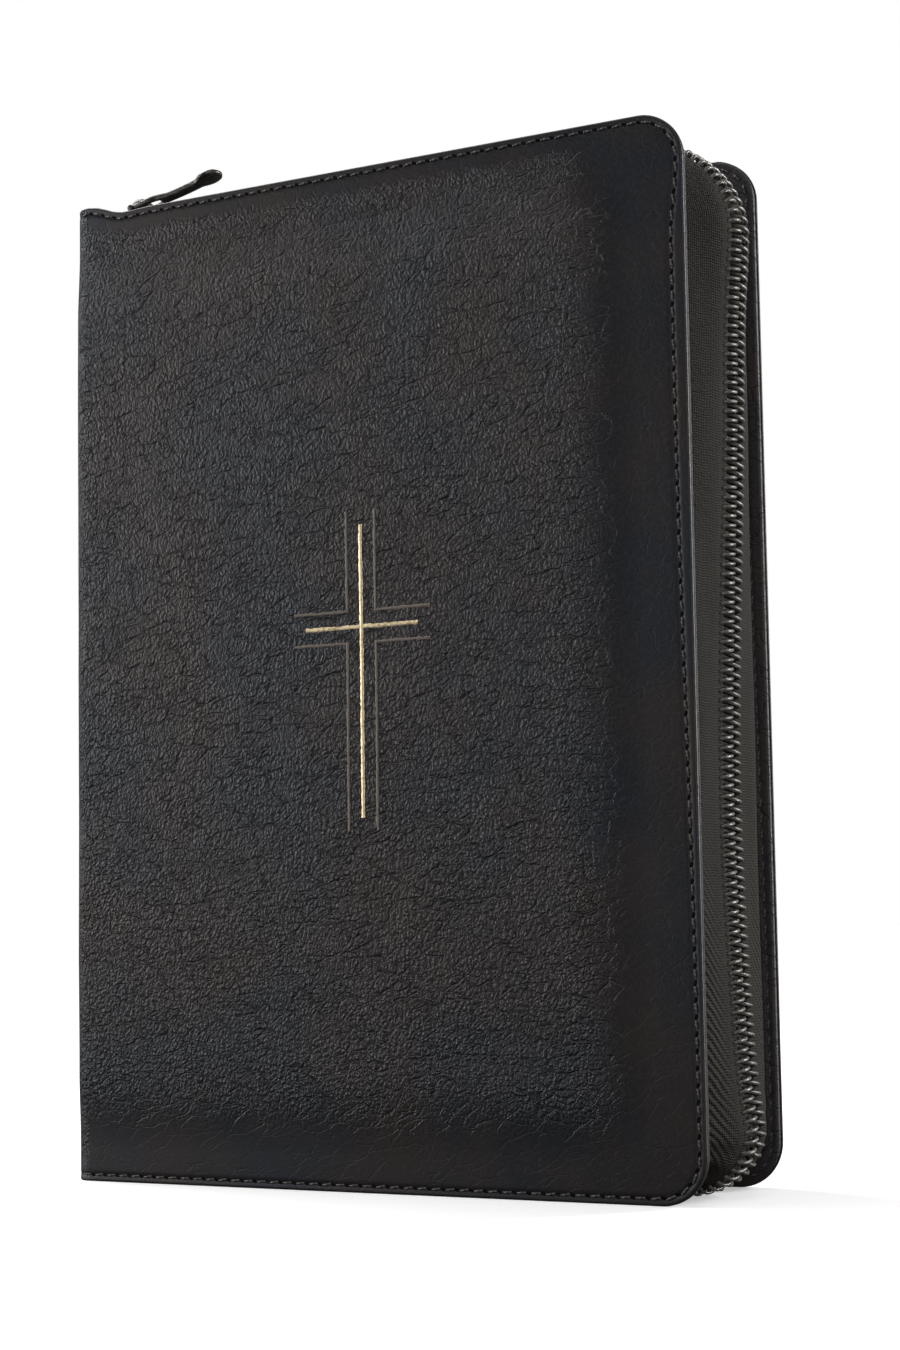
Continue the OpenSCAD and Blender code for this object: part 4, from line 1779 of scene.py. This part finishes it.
# Places along the pull's bar for a pull 22 mm long, close together round its broad end.
BAR_STEPS = np.array([6.8, 7.6, 9, 11, 13, 15, 16.4, 17.2, 17.8, 18.6, 19.6, 20.6, 21.3, 21.7, 21.95])
BAR_LONG = 22


@dataclass
class Slider:
    """The slider with its rounded crown, and the pull that hangs on it."""

    book: BookFrame
    blade: float = 1.4
    crown_w: float = 2.7
    arm_gap: float = 1.35
    bar_w: float = 2.8
    bar_t: float = 1.6
    tip_w: float = 5.8
    rest_deg: float = 14.0

    def plate(self, outline: Array, z0: float, z1: float, bevel: float) -> Shape:
        """A flat plate with softened edges, from its outline in X and Y.

        Args:
            outline: points round it, counter-clockwise from above.
            z0: bottom.
            z1: top.
            bevel: how far the top and bottom edges are rounded in.
        Returns:
            The closed plate.
        """
        centre = outline.mean(0)
        away = outline - centre
        size = np.linalg.norm(away, axis=1)[:, None]
        rings = []
        soft = bevel * 0.3
        foot = ((z0, bevel), (z0 + soft, soft), (z0 + bevel, 0.0))
        head = ((z1 - bevel, 0.0), (z1 - soft, soft), (z1, bevel))
        for z, inset in foot + head:
            ring = centre + away * (1 - inset / size)
            rings.append(np.column_stack([ring, np.full(len(ring), z)]))
        points = np.concatenate(rings)
        n = len(outline)
        caps = [np.arange(n)[::-1][None, :], (5 * n + np.arange(n))[None, :]]
        return Shape(points, [grid_faces(6, n, ring=True), *caps], points[:, :2])

    def body(self) -> bpy.types.Object:
        """Two blades with side walls, the wedge between them, and the crown's rounded hood on top.

        The hood is a rounded box carried along X, its height read from the HOOD table and smoothed.
        Returns:
            The piece.
        """
        (x0, y0, z0), (x1, y1, _) = low("slider"), high("slider")
        b = self.book
        middle_x, long, wide = (x0 + x1) / 2, x1 - x0, y1 - y0
        low_in = b.chain_head - z0 - self.blade
        half = oval(28, long, wide, 3.4)
        taper = 1 - 0.14 * smooth((half[:, :1] / long + 0.5))
        outline = np.concatenate([half[:, :1], half[:, 1:] * taper], 1) + np.array([middle_x, 0.0])
        parts = []
        for up in (1, -1):
            inner = b.chain_head + up * low_in
            outer = inner + up * self.blade
            parts.append(self.plate(outline, min(inner, outer), max(inner, outer), 0.42))
            for side in (-1, 1):
                wall = oval(16, long * 0.86, 1.15, 4.0) + np.array([middle_x, side * (wide / 2 - 0.85)])
                edge = b.chain_head + up * 0.55
                parts.append(self.plate(wall, min(edge, inner + up * 0.3), max(edge, inner + up * 0.3), 0.15))
        wedge = oval(14, 3.4, 3.0, 1.6) + np.array([x0 + 2.0, 0.0])
        parts.append(self.plate(wedge, b.chain_head - low_in - 0.2, b.chain_head + low_in + 0.2, 0.1))
        top = b.chain_head + low_in + self.blade
        t = np.linspace(0, 1, 25)
        hood_x, tall = np.interp(t, HOOD[:, 0], HOOD[:, 1]), np.interp(t, HOOD[:, 0], HOOD[:, 2])
        for _ in range(2):
            tall[1:-1] = (tall[:-2] + 2 * tall[1:-1] + tall[2:]) / 4
        line = np.stack([middle_x + hood_x, np.zeros_like(t), top - 0.3 + tall / 2], -1)
        across, upward = steady(line, 0.0, 1.0, 0.0), steady(line, 0.0, 0.0, 1.0)
        wide = self.crown_w * (0.75 + 0.30 * np.sin(t * math.pi))
        profile = oval(16, 1.0, 1.0, 2.7)[None] * np.stack([wide, tall], -1)[:, None]
        parts.append(sweep(line, across, upward, profile))
        made = Shape.join(parts).piece("slider_body", METAL, crisp=50)
        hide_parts("slider")
        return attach(made, "slider")

    def pull(self) -> bpy.types.Object:
        """A pin through the crown, two short arms, a slim bowed bar and a broad rounded end.

        It is drawn flat along X from the pin, and then turned up about the pin to where it rests.
        Returns:
            The piece.
        """
        turn = math.radians(self.rest_deg)
        pin_x, pin_z = low("pull")[0] + 1.1, low("pull")[2] + 0.95
        long = (high("pull")[0] - pin_x) / math.cos(turn)
        parts = []
        arm_y = self.arm_gap + 0.75
        for side in (-1, 1):
            s = np.linspace(-0.9, 9.0, 14)
            close = smooth((s - 5.0) / 4.0)
            line = np.stack([s, side * (arm_y * (1 - close) + 0.6 * close), 0 * s], -1)
            past = np.abs(s - 4.05) - 4.2
            ends = np.clip(1 - (past / 0.8) ** 2 * (past > 0), 0.25, 1) ** 0.5
            profile = oval(10, 1.15, 1.3, 2.6)[None] * ends[:, None, None]
            parts.append(sweep(line, steady(line, 0.0, 1.0, 0.0), steady(line, 0.0, 0.0, 1.0), profile))
        s = BAR_STEPS / BAR_LONG * long
        k = s / long * BAR_LONG
        wide = self.bar_w + (self.tip_w - self.bar_w) * smooth((k - 16.2) / 2.4)
        wide = wide * np.sqrt(np.clip(1 - np.clip((k - 19.4) / 2.65, 0, 1) ** 2, 0.02, 1))
        thick = self.bar_t * (1 - 0.12 * smooth((k - 16.2) / 2.0)) * np.clip((22.4 - k) / 1.2, 0.35, 1)
        bow = -0.35 * np.sin((k - 6) / 16 * math.pi)
        line = np.stack([s, 0 * s, bow], -1)
        profile = oval(16, 1.0, 1.0, 3.0)[None] * np.stack([wide, thick], -1)[:, None]
        parts.append(sweep(line, steady(line, 0.0, 1.0, 0.0), steady(line, 0.0, 0.0, 1.0), profile))
        y = np.array([-1.0, -0.98, 0.98, 1.0]) * (arm_y + 0.9)
        line = np.stack([0 * y, y, 0 * y], -1)
        radius = np.array([0.55, 0.72, 0.72, 0.55])[:, None, None]
        profile = oval(14, 2.0, 2.0)[None] * radius
        parts.append(sweep(line, steady(line, 0.0, 0.0, 1.0), steady(line, 1.0, 0.0, 0.0), profile))
        shape = Shape.join(parts)
        c, sn = math.cos(turn), math.sin(turn)
        x, z = shape.points[:, 0].copy(), shape.points[:, 2].copy()
        shape.points[:, 0] = pin_x + x * c - z * sn
        shape.points[:, 2] = pin_z + x * sn + z * c
        made = shape.piece("zip_pull", METAL, crisp=50)
        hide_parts("pull")
        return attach(made, "pull")

    def build(self) -> list[bpy.types.Object]:
        """Returns: the slider and its pull."""
        return [self.body(), self.pull()]


# ---------------------------------------------------------------- the pages


@dataclass
class Pages:
    """The sewn block and the turning groups of leaves, with gilt edges and rounded corners."""

    book: BookFrame
    corner: float = 4.0
    bend_before: float = 4.5
    bend_after: float = 9.0

    def slab(
        self, name: str, y0: float, y1: float, faces: tuple[Finish, Finish]
    ) -> bpy.types.Object:
        """A stack of leaves: a ring of four corners carried from the back to the fore-edge.

        Near the fore-edge the ring gets lower and higher ends closer together along a quarter
        circle, which rounds the page corners.
        Args:
            name: the piece's name.
            y0: outer or lower face.
            y1: the other face.
            faces: finish of the flat faces and of the edges.
        Returns:
            The piece.
        """
        b = self.book
        end = b.page_end_x
        turn = np.linspace(0, math.pi / 2, 12)
        x = np.concatenate([
            np.linspace(b.page_x, b.gutter_x + self.bend_after, 22),
            np.linspace(b.gutter_x + self.bend_after, end - self.corner, 14)[1:-1],
            end - self.corner + self.corner * np.sin(turn),
        ])
        into = np.concatenate([np.zeros(len(x) - 12), self.corner * (1 - np.cos(turn))])
        foot, head = b.page_low + into, b.page_high - into
        corners = ((y0, foot), (y0, head), (y1, head), (y1, foot))
        ring = np.stack([np.stack([x, np.full_like(x, y), z], -1) for y, z in corners], 1)
        quads = grid_faces(len(x), 4, ring=True, flip=True).reshape(-1, 4, 4)
        flat = np.concatenate([quads[:, 0], quads[:, 2]])
        edges = np.concatenate([quads[:, 1], quads[:, 3]])
        caps = np.array([[0, 1, 2, 3], [4 * len(x) - 1, 4 * len(x) - 2, 4 * len(x) - 3, 4 * len(x) - 4]])
        points = ring.reshape(-1, 3)
        shape = Shape(points, [flat, edges, caps], points[:, [0, 2]], slots=[0, 1, 1])
        made = shape.piece(name, *faces, crisp=50)
        return made

    def turning(self, node: str, outer: Side, name: str) -> bpy.types.Object:
        """One group of leaves that bends at the gutter.

        Args:
            node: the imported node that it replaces, which is also its body's name.
            outer: the cover that it lies nearer to.
            name: the piece's name.
        Returns:
            The piece.
        """
        b = self.book
        y0, y1 = low(node)[1], high(node)[1]
        fly = "flyleaf" in node
        faces = (ENDPAPER, ENDPAPER) if fly else (PAPER, GILT)
        made = self.slab(name, y0, y1, faces)
        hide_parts(node)
        if fly:
            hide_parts(f"{outer.word}_gutter")
        y = (y0 if outer is Side.FRONT else y1) * MM
        start = ((b.gutter_x - self.bend_before) * MM, y, 0.0)
        end = ((b.gutter_x + self.bend_after) * MM, y, 0.0)
        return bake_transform(made, "book", node, start, end)

    def build(self) -> list[bpy.types.Object]:
        """Returns: the block and every turning group."""
        block = self.slab("page_block", low("section_1")[1], high("section_8")[1], (PAPER, GILT))
        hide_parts(*[f"section_{i}" for i in range(1, 9)])
        made = [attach(block, "book")]
        made.append(self.turning("front_flyleaf", Side.FRONT, "front_endpaper"))
        for i in (1, 2, 3):
            made.append(self.turning(f"leaves_{i}", Side.FRONT, f"leaf_group_{i}"))
        made.append(self.turning("leaves_4", Side.BACK, "leaf_group_4"))
        made.append(self.turning("back_flyleaf", Side.BACK, "back_endpaper"))
        return made


def dress_frame() -> None:
    """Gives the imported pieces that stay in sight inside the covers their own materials."""
    finishes = {
        "front_board": BOARD,
        "back_board": BOARD,
        "spine_lining": SPINE_PAPER,
        "spine_mull": GAUZE,
        "headband": END_BAND,
        "tailband": END_BAND,
    }
    for node, finish in finishes.items():
        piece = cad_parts[node]
        piece.data.materials.clear()
        piece.data.materials.append(finish.material())


# ---------------------------------------------------------------- floor, light, camera


@dataclass(frozen=True)
class Lamp:
    """A soft square lamp that looks at a point of the book."""

    name: str
    place: tuple[float, float, float]
    aim: tuple[float, float, float]
    size: tuple[float, float]
    watts: float
    colour: tuple[float, float, float] = (1.0, 1.0, 1.0)

    def build(self) -> None:
        """Makes the lamp."""
        data = bpy.data.lights.new(self.name, "AREA")
        data.shape = "RECTANGLE"
        data.size, data.size_y = self.size
        data.energy = self.watts
        data.color = self.colour
        lamp = bpy.data.objects.new(self.name, data)
        bpy.context.scene.collection.objects.link(lamp)
        lamp.location = self.place
        way = Vector(self.aim) - Vector(self.place)
        lamp.rotation_euler = way.to_track_quat("-Z", "Y").to_euler()


@dataclass
class Studio:
    """White floor and background, soft lamps and the camera."""

    turn_deg: float = 29.277
    rise_deg: float = -5.526
    roll_deg: float = -0.895
    lens: float = 67.83
    reach: float = 0.5091
    aim: tuple[float, float, float] = (-0.001425, 0.0, 0.100)
    slide: tuple[float, float] = (0.008045, 0.000467)
    ambient: float = 0.07

    def floor(self) -> None:
        """A wide pale floor. Seen straight on it is white with a soft shadow; lamps see it duller."""
        size = 9000.0  # millimetres each way
        x, y = np.meshgrid(np.linspace(-size, size, 3), np.linspace(-size, size, 3))
        points = np.stack([x, y, np.full_like(x, -0.02)], -1).reshape(-1, 3)
        shape = Shape(points, [grid_faces(3, 3)], points[:, :2])
        made = shape.piece("studio_floor", FLOOR, crisp=None)

    def world(self) -> None:
        """White where the camera looks past the floor, and a dim even light on the book."""
        world = bpy.data.worlds.new("Studio")
        bpy.context.scene.world = world
        world.use_nodes = True
        world.node_tree.nodes.clear()
        g = Graph(world.node_tree)
        back = g.node("Background")
        path = g.node("LightPath")
        strength = g.math("MULTIPLY_ADD", path.outputs["Is Camera Ray"], 1.0 - self.ambient, self.ambient)
        g.put(back.inputs["Strength"], strength)
        back.inputs["Color"].default_value = WHITE
        leave = g.node("OutputWorld")
        g.put(leave.inputs["Surface"], back.outputs[0])

    def lamps(self) -> None:
        """A window and a strip to the left, a strip and a fill to the right, and two lamps above."""
        middle = (0.0, 0.0, 0.1)
        for lamp in (
            Lamp("left_window", (-0.50, -0.42, 0.15), (-0.03, 0.0, 0.09), (0.35, 0.5), 1.0),
            Lamp("spine_strip", (-0.75, -0.20, 0.26), middle, (0.12, 0.5), 2.2),
            Lamp("right_strip", (0.55, 0.54, 0.24), middle, (0.10, 0.6), 6.0),
            Lamp("right_fill", (0.42, -0.56, 0.20), middle, (0.4, 0.5), 1.4),
            Lamp("high_left", (-0.55, 0.10, 0.85), middle, (0.4, 0.4), 5.0),
            Lamp("overhead", (0.05, -0.15, 1.1), middle, (0.9, 0.9), 3.6),
        ):
            lamp.build()

    def camera(self) -> None:
        """Looks slightly up at the book from the fore-edge side, as a standing book is photographed."""
        a, e, r = (math.radians(v) for v in (self.turn_deg, self.rise_deg, self.roll_deg))
        back = Vector((math.sin(a) * math.cos(e), -math.cos(a) * math.cos(e), math.sin(e)))
        right = (-back).cross(Vector((0, 0, 1))).normalized()
        up = right.cross(-back).normalized()
        turned = math.cos(r) * right + math.sin(r) * up
        upward = -math.sin(r) * right + math.cos(r) * up
        place = Vector(self.aim) + turned * self.slide[0] + upward * self.slide[1] + back * self.reach
        data = bpy.data.cameras.new("Camera")
        data.lens, data.sensor_width = self.lens, 36.0
        data.clip_start, data.clip_end = 0.01, 50.0
        cam = bpy.data.objects.new("Camera", data)
        bpy.context.scene.collection.objects.link(cam)
        turn = Matrix((turned, upward, back)).transposed().to_4x4()
        cam.matrix_world = Matrix.Translation(place) @ turn
        bpy.context.scene.camera = cam

    def build(self) -> None:
        """Makes the floor, the lights and the camera."""
        self.camera()
        self.floor()
        self.world()
        self.lamps()
        view = bpy.context.scene.view_settings
        view.view_transform, view.look, view.exposure, view.gamma = "Standard", "None", 0.0, 1.0


def main() -> None:
    """Builds the studio and then the book, one sub-assembly at a time."""
    logging.basicConfig(level=logging.INFO, format="%(message)s")
    book = BookFrame.read()
    Studio().build()
    made: list[bpy.types.Object] = []
    covers = {side: Cover(book, side) for side in Side}
    for cover in covers.values():
        made += cover.build()
    made += Ornament(book, covers[Side.FRONT].skin).build()
    for side in Side:
        made += ZipSide(book, side).build()
    made += ZipEnds(book).build()
    made += Slider(book).build()
    made += Pages(book).build()
    dress_frame()


if __name__ == "__main__":
    main()
